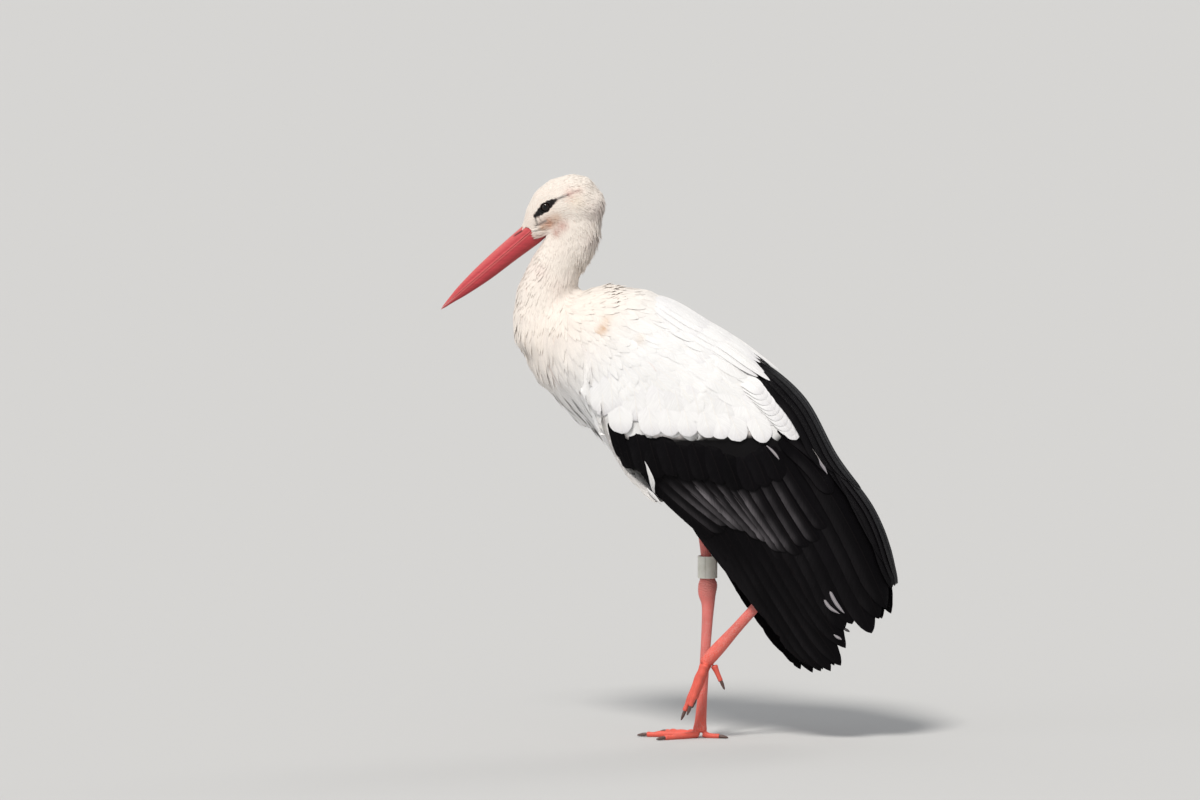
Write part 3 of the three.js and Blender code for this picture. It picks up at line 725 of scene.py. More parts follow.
def feather_material(name, rough, specular, sheen, streak, warm_shaft):
    """Feather vanes: the tint painted on each, fine barbs slanting from the shaft, and soft streaks."""
    material, tree = blank(name)
    tint = painted(tree)
    vane = node_of(tree, "UVMap", {}, {"uv_map": "vane"}).outputs["UV"]
    parts = node_of(tree, "SeparateXYZ", {0: vane}).outputs
    across = sums(tree, "ABSOLUTE", parts["X"])
    slant = sums(tree, "MULTIPLY_ADD", across, -1.3, parts["Y"])
    lot = sums(tree, "MULTIPLY", tint["Alpha"], 57.0)
    place = node_of(tree, "CombineXYZ", {"X": sums(tree, "MULTIPLY", slant, 9.0), "Y": across, "Z": lot})
    clumps = noise(tree, place.outputs[0], 1.0, 3.0, 0.6)
    barbs = sums(tree, "SINE", sums(tree, "MULTIPLY", slant, 95.0))
    shaft = node_of(tree, "MapRange", {"Value": across, "From Min": 0.03, "From Max": 0.07, "To Min": 1.0,
                                       "To Max": 0.0})
    light = node_of(tree, "MapRange", {"Value": clumps, "From Min": 0.3, "From Max": 0.7,
                                       "To Min": 1.0 - streak, "To Max": 1.0 + streak * 0.4})
    web = scaled(tree, tint["Color"], light.outputs[0])
    height = sums(tree, "MULTIPLY_ADD", clumps, 1.6, sums(tree, "MULTIPLY", barbs, 0.25))
    return dressed(material, {
        "Base Color": blended(tree, sums(tree, "MULTIPLY", shaft.outputs[0], 0.35), web, warm_shaft),
        "Normal": relief(tree, height, 0.35, 0.0006),
        "Roughness": rough,
        "Specular IOR Level": specular,
        "Sheen Weight": sheen,
        "Sheen Roughness": 0.5,
    })


white_feather = feather_material("white_feather", 0.78, 0.3, 0.25, 0.10, (0.80, 0.74, 0.66))

# The skin's white: pinker than the plumage's, and a little darker as painted shade for skin that lies under
# the coat.
SKIN_WHITE = np.array((0.74, 0.69, 0.67))
BARE_BLACK = np.array((0.012, 0.010, 0.010))


def skin_colours(places):
    """The markings on bare skin: pinker than the plumage and a little darker with painted shade, and black
    round the eye.
    """
    return mixed(markings(places) * (SKIN_WHITE / WHITE), BARE_BLACK, bareness(places)[:, None])


def skin_material():
    """Thin skin with a fine crumpled grain."""
    material, tree = blank("skin")
    grain = noise(tree, own_place(tree), 700.0, 4.0)
    tone = sums(tree, "MULTIPLY_ADD", grain, 0.5, 0.75)
    return dressed(material, {
        "Base Color": scaled(tree, painted(tree)["Color"], tone),
        "Normal": relief(tree, grain, 0.5, 0.0005),
        "Roughness": 0.5,
        "Specular IOR Level": 0.12,
    })


def paint_points(mesh, name, colours):
    """Stores a colour for each corner point of a mesh."""
    values = np.ones((len(mesh.vertices), 4))
    values[:, :colours.shape[1]] = colours
    attribute = mesh.attributes.new(name, "FLOAT_COLOR", "POINT")
    attribute.data.foreach_set("color", values.ravel())


skin = Ground(body.data)
paint_points(body.data, "tint", skin_colours(skin.places))
body.data.materials.append(skin_material())
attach(body, "root")
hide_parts(*FLESH)

rng = np.random.RandomState(11)


def coat_spacing(places):
    """How far apart feathers root: in proportion to their width, slender ones a little wider."""
    lie = lie_at(places)
    slender = lie[:, 2] / lie[:, 3]
    return np.maximum(0.0015, lie[:, 3] * MM * (0.41 + 0.22 * smoothstep(slender, 3.0, 6.0)))


def coated(places):
    """Where contour feathers root: not on bare skin, nor where they would hang over the black."""
    lie = lie_at(places)
    tips = places.copy()
    tips[:, 1:] += lie[:, :2] * (lie[:, 2:3] * 0.9 * MM)
    middles = (places + tips) / 2
    bare = np.maximum(bareness(places), np.maximum(bareness(middles), bareness(tips)))
    return (bare < 0.5) & (under_black(places) < 0.5) & (under_black(tips) < 0.5) & ~past_white(tips)


def gathered(base, line, lift, room, pull, rng):
    """Draws the tips of neighbouring feathers together into tufts about `room` across, some of which
    stand up more than others."""
    order = rng.permutation(len(base))
    taken = np.zeros(len(base), bool)
    tree = KDTree(len(base))
    for i, place in enumerate(base.tolist()):
        tree.insert(place, i)
    tree.balance()
    leader = np.arange(len(base))
    for i in order:
        if taken[i]:
            continue
        for _, other, _ in tree.find_range(base[i], room):
            if not taken[other]:
                taken[other] = True
                leader[other] = i
    heading = unit(line[:, -1] - line[:, 0])
    aside = base[leader] - base
    aside = aside - heading * (aside * heading).sum(1, keepdims=True)
    along = rows_at(line.shape[1])[None, :, None]
    stand = rng.uniform(0.6, 1.4, len(base))[leader]
    return line + aside[:, None, :] * (pull * along ** 1.4), lift * stand


def in_groups(places):
    """Groups of contour feathers: what is in each, the rows along a feather, its section, how far its
    edges bow down, and the size and pull of the tufts that it gathers in."""
    y, z = side_view(places)
    out = np.abs(places[:, 0]) / MM
    head = z > 686 + 0.35 * (y + 140)
    neck = ~head & (z > 612) & (y < -112)
    breast = ~head & ~neck & (y + 0.42 * (z - 500) < -108)
    back = ~head & ~neck & ~breast & (z > 560 - 0.9 * (y + 60))
    wing = ~head & ~neck & ~breast & ~back & (out > 52) & (z > 425)
    belly = ~(head | neck | breast | back | wing)
    return {
        "face_feathers": (head & (y < -150), 5, THIN, 0.18, 0.0, 0.0),
        "crown_feathers": (head & (y >= -150), 6, THIN, 0.18, 0.005, 0.45),
        "neck_feathers": (neck, 8, THIN, 0.16, 0.008, 0.28),
        "breast_plumes": (breast, 12, BROAD, 0.16, 0.020, 0.32),
        "back_feathers": (back, 10, BROAD, 0.06, 0.0, 0.0),
        "lesser_coverts": (wing, 10, BROAD, 0.05, 0.0, 0.0),
        "belly_feathers": (belly, 8, BROAD, 0.16, 0.012, 0.3),
    }


CONTOUR_THICK = 0.00026
roots = scatter(skin, coat_spacing, coated, rng)
for name, (chosen, rows, section, camber, room, pull) in in_groups(roots).items():
    base = roots[chosen]
    count = len(base)
    lie = lie_at(base)
    lengths = lie[:, 2] * MM * rng.uniform(0.80, 1.18, count)
    widths = lie[:, 3] * MM * rng.uniform(0.85, 1.12, count) / 2
    lift = lie[:, 4] * MM * rng.uniform(0.55, 1.3, count)
    line, ups = trail(skin, base, lengths, lie[:, 6] * rng.uniform(0.4, 1.4, count), rows, rng)
    if pull:
        line, lift = gathered(base, line, lift, room, pull, rng)
    along = rows_at(rows)
    line = line + ups * (-0.0002 + lift[:, None] * along[None, :] ** 1.1)[..., None]
    half = widths[:, None] * outline(rows, lie[:, 5], 0.66 - 0.36 * lie[:, 5])
    colour = markings(line.reshape(-1, 3)).reshape(count, rows, 3)
    tone = 1 + rng.normal(0, 0.022, (count, 1, 1))
    # Painted shade: each feather greys to lavender towards its root, where its neighbours cover it, more so
    # on pointed ones.
    root_shade = (1 - smoothstep(along, 0.05, 0.7))[None, :, None] * (0.08 + 0.22 * lie[:, 5])[:, None, None]
    tint = np.clip(mixed(colour, colour * SHADE / WHITE, root_shade) * tone, 0, 1)
    feathers(name, line, ups, half, CONTOUR_THICK, section, camber, tint, white_feather)

# ------------------------------------------------------------------------------ folded wings
# The flight feathers and their coverts: stiff vanes with a shaft, laid like roof tiles over the
# folded wing. The black ones have a dull silver bloom on the web that lies open to the air.

# The outer form of the folded wings: centre (y, z), half width, reach over and under the centre.
FOLDED = np.array([
    (-178, 578, 34, 22, 20),
    (-140, 560, 78, 90, 70),
    (-100, 530, 95, 128, 104),
    (-40, 480, 101, 142, 112),
    (20, 430, 101, 152, 122),
    (80, 375, 94, 154, 126),
    (135, 315, 84, 132, 128),
    (185, 250, 73, 129, 124),
    (225, 190, 60, 110, 118),
    (255, 140, 48, 86, 108),
    (290, 80, 36, 76, 90),
], float)
FOLDED_POWER = 2.3
BLUNT = 2.4  # how soon the form reaches its full width from either end


def spline(rows, along):
    """The smooth curve through evenly spaced rows of values, and its slope."""
    rows = np.asarray(rows, float)
    padded = np.vstack([2 * rows[0] - rows[1], rows, 2 * rows[-1] - rows[-2]])
    place = np.clip(along, 0, 1) * (len(rows) - 1)
    index = np.minimum(place.astype(int), len(rows) - 2)
    w = (place - index)[..., None]
    before, start, end, after = (padded[index + k] for k in range(4))
    leave, arrive = (end - before) / 2, (after - start) / 2
    bend = 3 * (end - start) - 2 * leave - arrive
    twist = 2 * (start - end) + leave + arrive
    value = start + w * (leave + w * (bend + w * twist))
    return value, leave + w * (2 * bend + 3 * w * twist)


def fuller(part, power):
    """The sine or cosine of a section: power 2 gives an oval, more gives fuller corners."""
    return np.sign(part) * np.abs(part) ** (2 / power)


def wing_form(along, angle):
    """Places on the folded left wing. `angle` is 0 on the middle line of the back, 90 degrees at the
    side and more below it."""
    value, slope = spline(FOLDED, along)
    ahead = unit(slope[..., :2])
    full = np.minimum(1.0, 2 * np.sqrt(np.clip(along * (1 - along), 0, 1)) * BLUNT)
    height = np.where(np.cos(angle) > 0, value[..., 3], value[..., 4])
    height = height * full * fuller(np.cos(angle), FOLDED_POWER)
    x = value[..., 2] * full * fuller(np.sin(angle), FOLDED_POWER)
    y = value[..., 0] - ahead[..., 1] * height
    return metres(np.stack([x, y, value[..., 1] + ahead[..., 0] * height], -1))


def wing_normal(along, angle):
    """The direction out from the folded wing."""
    step = 0.004
    down = wing_form(along + step, angle) - wing_form(along - step, angle)
    round_ = wing_form(along, angle + step) - wing_form(along, angle - step)
    return unit(np.cross(round_, down))


ALONG_STEPS = np.linspace(0.02, 0.985, 400)
STEP_ROWS, STEP_SLOPES = spline(FOLDED, ALONG_STEPS)


def on_wing(y, z):
    """Where a place in side view lies on the folded wing: how far along it, and at what angle."""
    ahead = unit(STEP_SLOPES[:, :2])
    gap_y = y[..., None] - STEP_ROWS[:, 0]
    gap_z = z[..., None] - STEP_ROWS[:, 1]
    beside = np.abs(gap_y * ahead[:, 0] + gap_z * ahead[:, 1])
    nearest = beside.argmin(-1)
    heights = -gap_y * ahead[:, 1] + gap_z * ahead[:, 0]
    height = np.take_along_axis(heights, nearest[..., None], -1)[..., 0]
    reach = np.where(height > 0, STEP_ROWS[nearest, 3], STEP_ROWS[nearest, 4])
    part = np.clip(np.abs(height) / reach, 0, 1) ** (FOLDED_POWER / 2)
    return ALONG_STEPS[nearest], np.where(height > 0, np.arccos(part), np.pi - np.arccos(part))


FEATHERS_START = math.radians(3)  # nearest to the middle of the back that a feather's shaft lies


def eased(values):
    """Rows of values with their small steps evened out."""
    start, end = values[:, :1], values[:, -1:]
    before = start - (values[:, 1:3] - start)[:, ::-1]
    after = end + (end - values[:, -3:-1])[:, ::-1]
    padded = np.concatenate([before, values, after], axis=1)
    return sum(padded[:, k:k + values.shape[1]] for k in range(5)) / 5


# Cross section of a stiff feather, with the shaft standing up in the middle.
VANED = np.array([
    (-1, 0), (-0.72, 0.6), (-0.4, 0.85), (-0.07, 0.9), (0, 1.9), (0.07, 0.9), (0.4, 0.85), (0.72, 0.6),
    (1, 0), (0.5, -0.6), (0, -1.2), (-0.5, -0.6),
], float)
VANE_THICK = 0.00045


def vanes(name, specs, rows, rng, colour, mirror, lean, shape, ragged, splits=0.0, on_form=False,
          camber=0.08, rise=3.5):
    """A row of wing feathers. Each spec gives in side view the root (y, z) and tip (y, z), then the half
    width, the depth under the wing's form at root and tip, and how far the feather bows backwards. With
    `on_form`, root and tip are places along the folded wing and angles round it in degrees. `shape` is
    how pointed the feathers are and where they begin to taper, `ragged` how uneven their edges are,
    `splits` how often a web has parted, and `rise` how quickly a feather comes up from its root."""
    specs = np.asarray(specs, float)
    count = len(specs)
    along = rows_at(rows)[None, :]
    root, tip = specs[:, None, 0:2], specs[:, None, 2:4]
    run = tip - root
    bow = (specs[:, 7, None] * 4 * along * (1 - along))[..., None]
    if on_form:
        course = root + run * along[..., None] + bow * (0, 1)
        place, angle = course[..., 0], np.radians(course[..., 1])
    else:
        course = root + run * along[..., None] + unit(np.stack([-run[..., 1], run[..., 0]], -1)) * bow
        place, angle = (eased(values) for values in on_wing(course[..., 0], course[..., 1]))
        angle = np.maximum(angle, FEATHERS_START)
    ups = wing_normal(place, angle)
    depth = specs[:, 6, None] + (specs[:, 5] - specs[:, 6])[:, None] * (1 - along) ** rise
    line = wing_form(place, angle) - ups * (depth * MM)[..., None]
    half = specs[:, 4, None] * MM * outline(rows, *shape)
    split = (rng.rand(count, rows, 2) < splits) * (along[..., None] > 0.45)
    edges = 1 - ragged * rng.rand(count, rows, 2) * 2 - 0.2 * split
    tint = colour(count, along[0], rng)
    material = white_feather if colour in (white_vane, shaded_white_vane) else black_feather
    return feathers(name, line, ups, half, VANE_THICK, VANED, camber, tint, material, lean, edges, mirror)


def white_vane(count, along, rng):
    """White webs with painted shade: greyer towards the root and a little at the very tip."""
    root_shade = (1 - smoothstep(along, 0.1, 0.7))[None, :, None, None] * 0.22
    # Painted shade on the tip, which curves down away from the light.
    edge = smoothstep(along, 0.6, 1.0)[None, :, None, None] * 0.34
    tone = 1 + rng.normal(0, 0.015, (count, 1, 1, 1))
    tint = mixed(WHITE, SHADE, root_shade + edge) * tone
    return np.broadcast_to(tint, (count, len(along), len(VANED), 3)).copy()


def shaded_white_vane(count, along, rng):
    """White webs of stray feathers, darkened by painted shade as they lie mostly in shade."""
    return white_vane(count, along, rng) * np.array((0.30, 0.28, 0.31))


SILVER = np.array((0.095, 0.087, 0.093))


def black_vane(silver, start=0.3, end=0.9):
    """Near-black webs. `silver` is how strong the bloom is on each feather's lower web."""
    def colour(count, along, rng):
        amount = np.broadcast_to(np.asarray(silver, float), (count,))[:, None, None]
        u = VANED[:, 0]
        across = (0.2 * smoothstep(u, 0.0, 0.5) + 0.8 * smoothstep(u, 0.38, 0.85))[None, None, :]
        reach = (smoothstep(along, start, start + 0.25) * (1 - smoothstep(along, end, 1.0)))[None, :, None]
        patchy = eased(eased(rng.uniform(-0.3, 2.1, (count, len(along)))))[..., None]
        part = (amount * across * reach * patchy)[..., None]
        tone = 1 + rng.normal(0, 0.12, (count, 1, 1, 1))
        return BLACK * tone + (SILVER - BLACK) * part
    return colour


black_feather = feather_material("black_feather", 0.40, 0.05, 0.0, 0.4, (0.012, 0.009, 0.009))

# Tips (y, z) of the feathers of each row as they lie in the folded wing, from the front backwards,
# and the roots and tips of those along the white's rear edge.
MEDIAN_TIPS = [
    (-80, 460), (-54, 435), (-10, 433), (17, 434), (43, 433), (71, 432), (89, 430), (112, 426), (146, 425),
    (187, 427),
]
INNER_COVERTS = np.array([
    (100, 524, 139, 492), (108, 512, 150, 477), (118, 500, 161, 463), (130, 488, 172, 448),
    (144, 474, 184, 433),
], float)
GREATER_TIPS = [
    (-58, 416), (-54, 400), (-41, 384), (-22, 380), (-2, 374), (19, 377), (42, 370), (62, 371), (86, 367),
    (109, 358), (131, 357), (148, 364), (166, 372),
]
# Secondaries: root, tip, and how silvery the open web is.
SECONDARIES = [
    (-40, 396, 72, 292, 0.0), (-30, 400, 88, 300, 0.2), (-16, 404, 97, 311, 0.7),
    (4, 408, 115, 306, 0.6), (20, 410, 126, 303, 1.2), (38, 412, 145, 291, 0.6),
    (56, 414, 156, 287, 1.2), (70, 416, 172, 273, 0.8), (84, 418, 180, 272, 1.2),
    (104, 420, 194, 268, 0.5), (124, 424, 204, 279, 0.35), (140, 426, 219, 287, 0.5),
    (155, 430, 230, 304, 0.2),
]
PRIMARY_TIPS = {
    "left": [(150, 186), (166, 160), (182, 138), (200, 108), (218, 99), (232, 100), (247, 108), (254, 134)],
    "right": [(130, 160), (146, 136), (162, 112), (180, 94), (197, 90), (212, 94), (228, 100), (242, 128)],
}
TERTIAL_TIPS = {
    "left": [(226, 146), (240, 152), (252, 160), (264, 168), (291, 155), (301, 176), (311, 190),
             (322, 236)],
    "right": [(216, 140), (230, 146), (242, 156), (254, 164), (277, 153), (296, 168), (310, 176),
              (320, 232)],
}

# Where the flank's feathers end along the wing's front edge, from the top down.
FLANK_EDGE = [(-86, 486), (-82, 462), (-77, 438), (-69, 414), (-58, 392), (-44, 372), (-28, 355), (-8, 338)]
FLANK_STEPS = 40
FLANK_ROWS = 12
FLANK_LENGTH = 9.5  # in steps
FLANK_DEPTH = 2.6  # under the wing's form
BELLY_HALF = 52.0  # half the width of the belly where the flank feathers root


def between(places, steps):
    """Places between the numbered ones."""
    whole = np.minimum(steps.astype(int), len(places) - 2)
    part = (steps - whole)[:, None]
    return places[whole] * (1 - part) + places[whole + 1] * part


wing_rng = np.random.RandomState(5)
for side, mirror in (("left", False), ("right", True)):
    # White coverts whose round tips scallop the edge against the black, and those behind them.
    last = len(MEDIAN_TIPS) - 1
    median = []
    for i, (y, z) in enumerate(MEDIAN_TIPS):
        part = i / last
        median.append((y - 4 - 26 * part, z + 60 - 6 * part, y, z, 18.0 - 3.0 * part, 8.5,
                       0.6 if i else 2.6, 2 * part))
    for i, (y, z) in enumerate((np.array(MEDIAN_TIPS[:-1]) + MEDIAN_TIPS[1:]) / 2):
        part = i / last
        median.append((y - 4 - 26 * part, z + 78, y, z + 20, 19, 6.5, 3.8, 2 * part))
    inner = between(INNER_COVERTS, np.linspace(0, 4, 9))
    median += [(*place, 13.0, 12.0, 0.5, 2) for place in inner]
    vanes(f"median_coverts_{side}", median, 22, wing_rng, white_vane, mirror, 0.03, (0.05, 0.68), 0.012,
          camber=0.03, rise=1.7)

    # Long white shoulder feathers that end in a point over the black of the back.
    shoulder = []
    for row, (start, end, count) in enumerate(((0.20, 0.33, 8), (0.25, 0.385, 9), (0.29, 0.425, 9))):
        for i in range(count):
            angle = 2 + 44 * i / (count - 1)
            sunk = 4.8 * smoothstep(angle, 12, 44)
            shoulder.append((start, angle * 0.9, end - 0.004 * abs(i - 3), angle, 13.5, 9.0 + sunk,
                             1.2 - 0.5 * row + sunk, 0))
    shoulder += [(0.30, 1.5, 0.45, 1, 9, 9.0, -0.4, 0), (0.30, 19, 0.436, 21, 12, 9.0, -0.1, 0),
                 (0.30, 22, 0.452, 25, 11, 9.0, -0.6, 0), (0.30, 27, 0.434, 29, 12, 9.0, 1.6, 0)]
    vanes(f"shoulder_feathers_{side}", shoulder, 22, wing_rng, white_vane, mirror, 0.03, (0.5, 0.55), 0.01,
          on_form=True, camber=0.13)

    # Black greater coverts, which come out from under the white ones, shorter at the front.
    greater = []
    for i, (y, z) in enumerate(GREATER_TIPS):
        part = i / (len(GREATER_TIPS) - 1)
        root_height = (50 if i < 3 else 70) - 6 * part
        width = 14.5 if i > 1 else 11
        greater.append((y - 12 - 20 * part, z + root_height, y, z, width, 12.0, 1.8, 3 * part))
    vanes(f"greater_covert_feathers_{side}", greater, 30, wing_rng, black_vane(0.02), mirror, 0.07,
          (0.1, 0.8), 0.012)

    # The flight feathers: secondaries from the arm, and the primaries' tips behind and below them.
    secondary = [(*place, 13.5, 10.0, 4.6 - 0.2 * i, -3.0) for i, (*place, _) in enumerate(SECONDARIES)]
    silver = [row[4] for row in SECONDARIES]
    piece = vanes(f"secondary_feathers_{side}", secondary, 44, wing_rng, black_vane(silver, 0.25, 0.85),
                  mirror, 0.10, (0.15, 0.9), 0.015)
    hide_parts(f"secondaries_{side}")

    primary = []
    for i, (y, z) in enumerate(PRIMARY_TIPS[side]):
        part = i / (len(PRIMARY_TIPS[side]) - 1)
        primary.append((10 + 90 * part, 372 + 10 * part, y, z, 15.5, 10.0, 5.6 - 0.2 * i, -6 + 2 * part))
    piece = vanes(f"primary_feathers_{side}", primary, 48, wing_rng, black_vane(0.05), mirror, 0.09,
                  (0.45, 0.84), 0.02, 0.02)
    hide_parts(f"primaries_{side}")

    # The innermost long feathers lie over the rest, each over its lower neighbour, up to the back.
    tips = TERTIAL_TIPS[side]
    tertial = []
    for i, (y, z) in enumerate(tips):
        part = i / (len(tips) - 1)
        tertial.append((92 + 40 * part, 424 + 88 * part, y, z, 21.0, 10.0, 4.4 - 0.3 * i, 4 + 16 * part))
    piece = vanes(f"tertial_feathers_{side}", tertial, 48, wing_rng, black_vane(0.06), mirror, 0.06,
                  (0.3, 0.84), 0.02, 0.015)
    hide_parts(f"tertials_{side}")
    short = [(148, 446, 236, 352, 16, 9.0, 1.4, 8), (140, 466, 236, 380, 16, 9.0, 1.2, 8)]
    vanes(f"short_tertials_{side}", short, 36, wing_rng, black_vane(0.08), mirror, 0.05, (0.25, 0.82),
          0.015)
    ridge = [(0.38 + 0.01 * i, 4 + 7 * i, 0.66 - 0.02 * i, 6 + 8 * i, 17, 9.0, 1.0 - 0.2 * i, 0)
             for i in range(4)]
    ridge += [(0.42, 3 + 6 * i, 0.84, 5 + 9 * i, 18, 9.0, 2.0 - 0.2 * i, 0) for i in range(3)]
    vanes(f"ridge_feathers_{side}", ridge, 40, wing_rng, black_vane(0.05), mirror, 0.05, (0.3, 0.82), 0.015,
          on_form=True)

    # White feathers of the flank close the space between the belly and the wing's front edge, and
    # show as a fringe before the black. The last one is turned up over the wing.
    along = rows_at(FLANK_ROWS)
    course, _ = spline(FLANK_EDGE, np.linspace(0, 1, FLANK_STEPS))
    place, angle = on_wing(course[:, 0], course[:, 1])
    outer_edge = wing_form(place, angle) - wing_normal(place, angle) * (FLANK_DEPTH * MM)
    belly_side = np.stack([np.full(FLANK_STEPS, BELLY_HALF), course[:, 0] + 22, course[:, 1] - 2], 1)
    inner_edge, _ = skin.drop(metres(belly_side))
    lines, fronts = [], []
    for start in np.linspace(0, 33, 17):
        for over in np.linspace(0.0, 1.0, 9):
            begin = start + wing_rng.uniform(-0.8, 0.8) + 1.0
            steps = np.clip(begin + FLANK_LENGTH * along, 0, FLANK_STEPS - 1)
            inside, outside = between(inner_edge, steps), between(outer_edge, steps)
            forward = (0, -0.001 - 0.0035 * wing_rng.rand(), 0) * along[:, None]
            lines.append(inside + (outside - inside) * over + forward)
            fronts.append(unit(np.cross(outside - inside, np.gradient(lines[-1], axis=0))))
    line, ups = np.array(lines), np.array(fronts)
    ups *= np.where((ups * (0.3, -1.0, -0.4)).sum(2, keepdims=True) < 0, -1, 1)
    half = wing_rng.uniform(0.0050, 0.0075, (len(line), 1)) * outline(FLANK_ROWS, 0.9, 0.4)
    tint = np.clip(white_vane(len(line), along, wing_rng)[:, :, 0] * (1.0, 0.985, 0.965), 0, 1)
    feathers(f"flank_feathers_{side}", line, ups, half, CONTOUR_THICK, BROAD, 0.16, tint, white_feather,
             mirror=mirror)
    turned = [(-12, 350, -22, 398, 4.2, 3.0, -1.0, -3), (-22, 356, 0, 334, 3.4, 3.0, 0.0, 1)]
    vanes(f"turned_feather_{side}", turned, 26, wing_rng, white_vane, mirror, 0.03, (0.9, 0.35), 0.03, 0.03)

    # Stray white feathers that show between the black ones, grey with painted shade.
    strays = [(188, 440, 228, 379, 5.2, 3.0, 0.2, 2), (148, 420, 165, 400, 1.8, 3.0, 0.6, 1),
              (232, 222, 254, 184, 2.6, 6.0, 0.2, -3), (224, 208, 247, 184, 2.4, 6.0, 0.4, -4),
              (238, 153, 249, 147, 2.0, 4.0, 0.6, 0)]
    vanes(f"stray_white_feathers_{side}", strays, 20, wing_rng, shaded_white_vane, mirror, 0.05, (0.6, 0.6), 0.02)

# -------------------------------------------------------------------------------------------- legs
# Bare scaly skin from inside the thigh's feathers to the toes, one piece for each leg: small
# six-sided scales on the shanks, cross plates along the toes, and loose folds at the ankle.

# Sections of each leg from the thigh down: place (y, z), half width, reach over and under, place x.
LEG_SECTIONS = {
    "left": [
        (58, 342, 9, 9.5, 9.5, 47), (96, 321, 7, 7.5, 7.5, 46), (140, 295, 6.4, 7, 7, 44),
        (173, 274, 6.8, 7.6, 7.6, 42), (190, 262, 9, 11, 10, 40.3), (183, 255, 9.4, 11.5, 11, 40),
        (169.5, 239.5, 7.4, 9, 8.6, 38.5), (144, 210, 6.2, 7.4, 7.2, 36), (102, 162.5, 6.2, 7.5, 7.5, 32.5),
        (74, 131, 7.6, 9.4, 9.4, 30), (57.5, 113, 9.8, 9.6, 9, 29), (54, 106, 8.5, 7, 7, 29),
    ],
    "right": [
        (26, 352, 9, 10, 10, -32), (36, 320, 7, 7.5, 7.5, -27.5), (44, 288, 6.3, 7.2, 7.2, -22),
        (50, 250, 6.6, 7.7, 7.7, -18), (51.5, 226, 7.8, 9.6, 9.8, -15.5), (52, 215, 10, 13.4, 13.0, -15),
        (52, 202, 9.6, 11.8, 13.2, -14.4), (53, 187, 7.6, 9.0, 9.6, -13.6), (52, 165, 6.3, 7.8, 8, -12),
        (49.5, 120, 6, 7, 7, -9.2), (46, 60, 6.1, 7, 7, -5.8), (44, 24, 7.6, 8, 8.6, -3.7),
        (43.4, 13, 9.6, 9.2, 10.2, -3.1), (43, 7, 8.5, 8, 9, -3),
    ],
}
# Toes: length, half thickness, joints, turn on the standing foot and start on it, then root and
# direction on the lifted one.
TOES = {
    "middle": (74, 6.1, 3, 0, 3, (0, -4.5, -5), (0, -0.38, -0.925)),
    "inner": (56, 5.7, 2, 38, 3, (-10.5, 0.5, -4), (0.06, -0.33, -0.925)),
    "outer": (66, 5.7, 4, -38, 3, (10.5, -0.5, -4), (-0.07, -0.35, -0.925)),
    "hind": (25, 5, 1, 172, 4, (-1, 9, -7), (-0.04, 0.4, -0.92)),
}
STANDING_FOOT = (-3, 43, 6.2)
LIFTED_FOOT = (29, 57.5, 113)
SOLE = 0.86  # height of a standing toe's centre over the floor, in half thicknesses
LEG_GRAIN = 0.00105
LEG_ROUNDS = 5


def drawn_out(form, rows, side=(1, 0, 0), around=28, rings=40, power=2.0):
    """Adds a closed form through rows of (x, y, z, half width, over, under) in millimetres: a sphere
    drawn out along them. `side` is the direction of the width."""
    made = bmesh.ops.create_uvsphere(form, u_segments=around, v_segments=rings, radius=1.0)["verts"]
    ball = np.array([vert.co for vert in made])
    ring = np.hypot(ball[:, 0], ball[:, 1])
    across, upward = np.where(ring > 1e-6, ball[:, :2].T / np.maximum(ring, 1e-6), 0)
    value, slope = spline(rows, (1 - ball[:, 2]) / 2)
    ahead = unit(slope[:, :3])
    side = np.asarray(side, float)
    width = unit(side - ahead * (ahead @ side)[:, None])
    full = np.minimum(1.0, ring * BLUNT)
    half = value[:, 3] * full * fuller(across, power)
    height = np.where(upward > 0, value[:, 4], value[:, 5]) * full * fuller(upward, power)
    points = value[:, :3] + width * half[:, None] + np.cross(width, ahead) * height[:, None]
    for vert, point in zip(made, metres(points)):
        vert.co = point


def toe_course(foot, kind):
    """Centre rows of one toe, its direction and the direction of its width."""
    length, thick, joints, turn, start, root, hanging = TOES[kind]
    if foot == "right":
        angle = math.radians(turn)
        heading = np.array((math.sin(angle), -math.cos(angle), 0.0))
        width = np.array((math.cos(angle), math.sin(angle), 0.0))
        origin = np.array(STANDING_FOOT, float) + heading * start
    else:
        heading = unit(np.array(hanging, float))
        width = np.array((1.0, 0.0, 0.0))
        origin = np.array(LIFTED_FOOT, float) + np.array(root, float)
    rows = []
    count = joints * 2 + 1
    for i in range(count + 1):
        part = i / count
        size = thick * (1 - 0.34 * part) * (1 + 0.13 * math.cos(part * joints * 2 * math.pi)) * 0.97
        centre = origin + heading * length * part
        if foot == "right":
            level = size * SOLE
            centre[2] = max(level, origin[2] + (level - origin[2]) * min(1, part * 4))
        rows.append((*centre, size * 1.03, size, size))
    return np.array(rows), heading, width


def leg_skin(foot):
    """The fused skin of one leg."""
    form = bmesh.new()
    rows = [(x, y, z, width, over, under) for y, z, width, over, under, x in LEG_SECTIONS[foot]]
    drawn_out(form, rows, rings=90)
    for kind in TOES:
        course, _, width = toe_course(foot, kind)
        drawn_out(form, course, side=width, around=20, rings=40)
    bmesh.ops.recalc_face_normals(form, faces=form.faces)
    return settle(form, f"leg_skin_{foot}", LEG_GRAIN, LEG_ROUNDS)


LEG_PINK = np.array((0.66, 0.135, 0.115))
LEG_RED = np.array((0.72, 0.075, 0.04))
LEG_PALE = np.array((0.74, 0.30, 0.25))
# The loose folds of each ankle: place (y, z) and reach. Then how far down the pink turns to red.
FOLDS = {"left": (187, 259, 9.9), "right": (52, 214, 12.73)}
REDDENS = {"left": (-230, -90), "right": (-120, -20)}


def in_table(places):
    """Places in the row frame, as (x, y, z) in the tables' millimetres."""
    return (places - np.array((0.0, SHIFT_Y, 0.0))) / MM


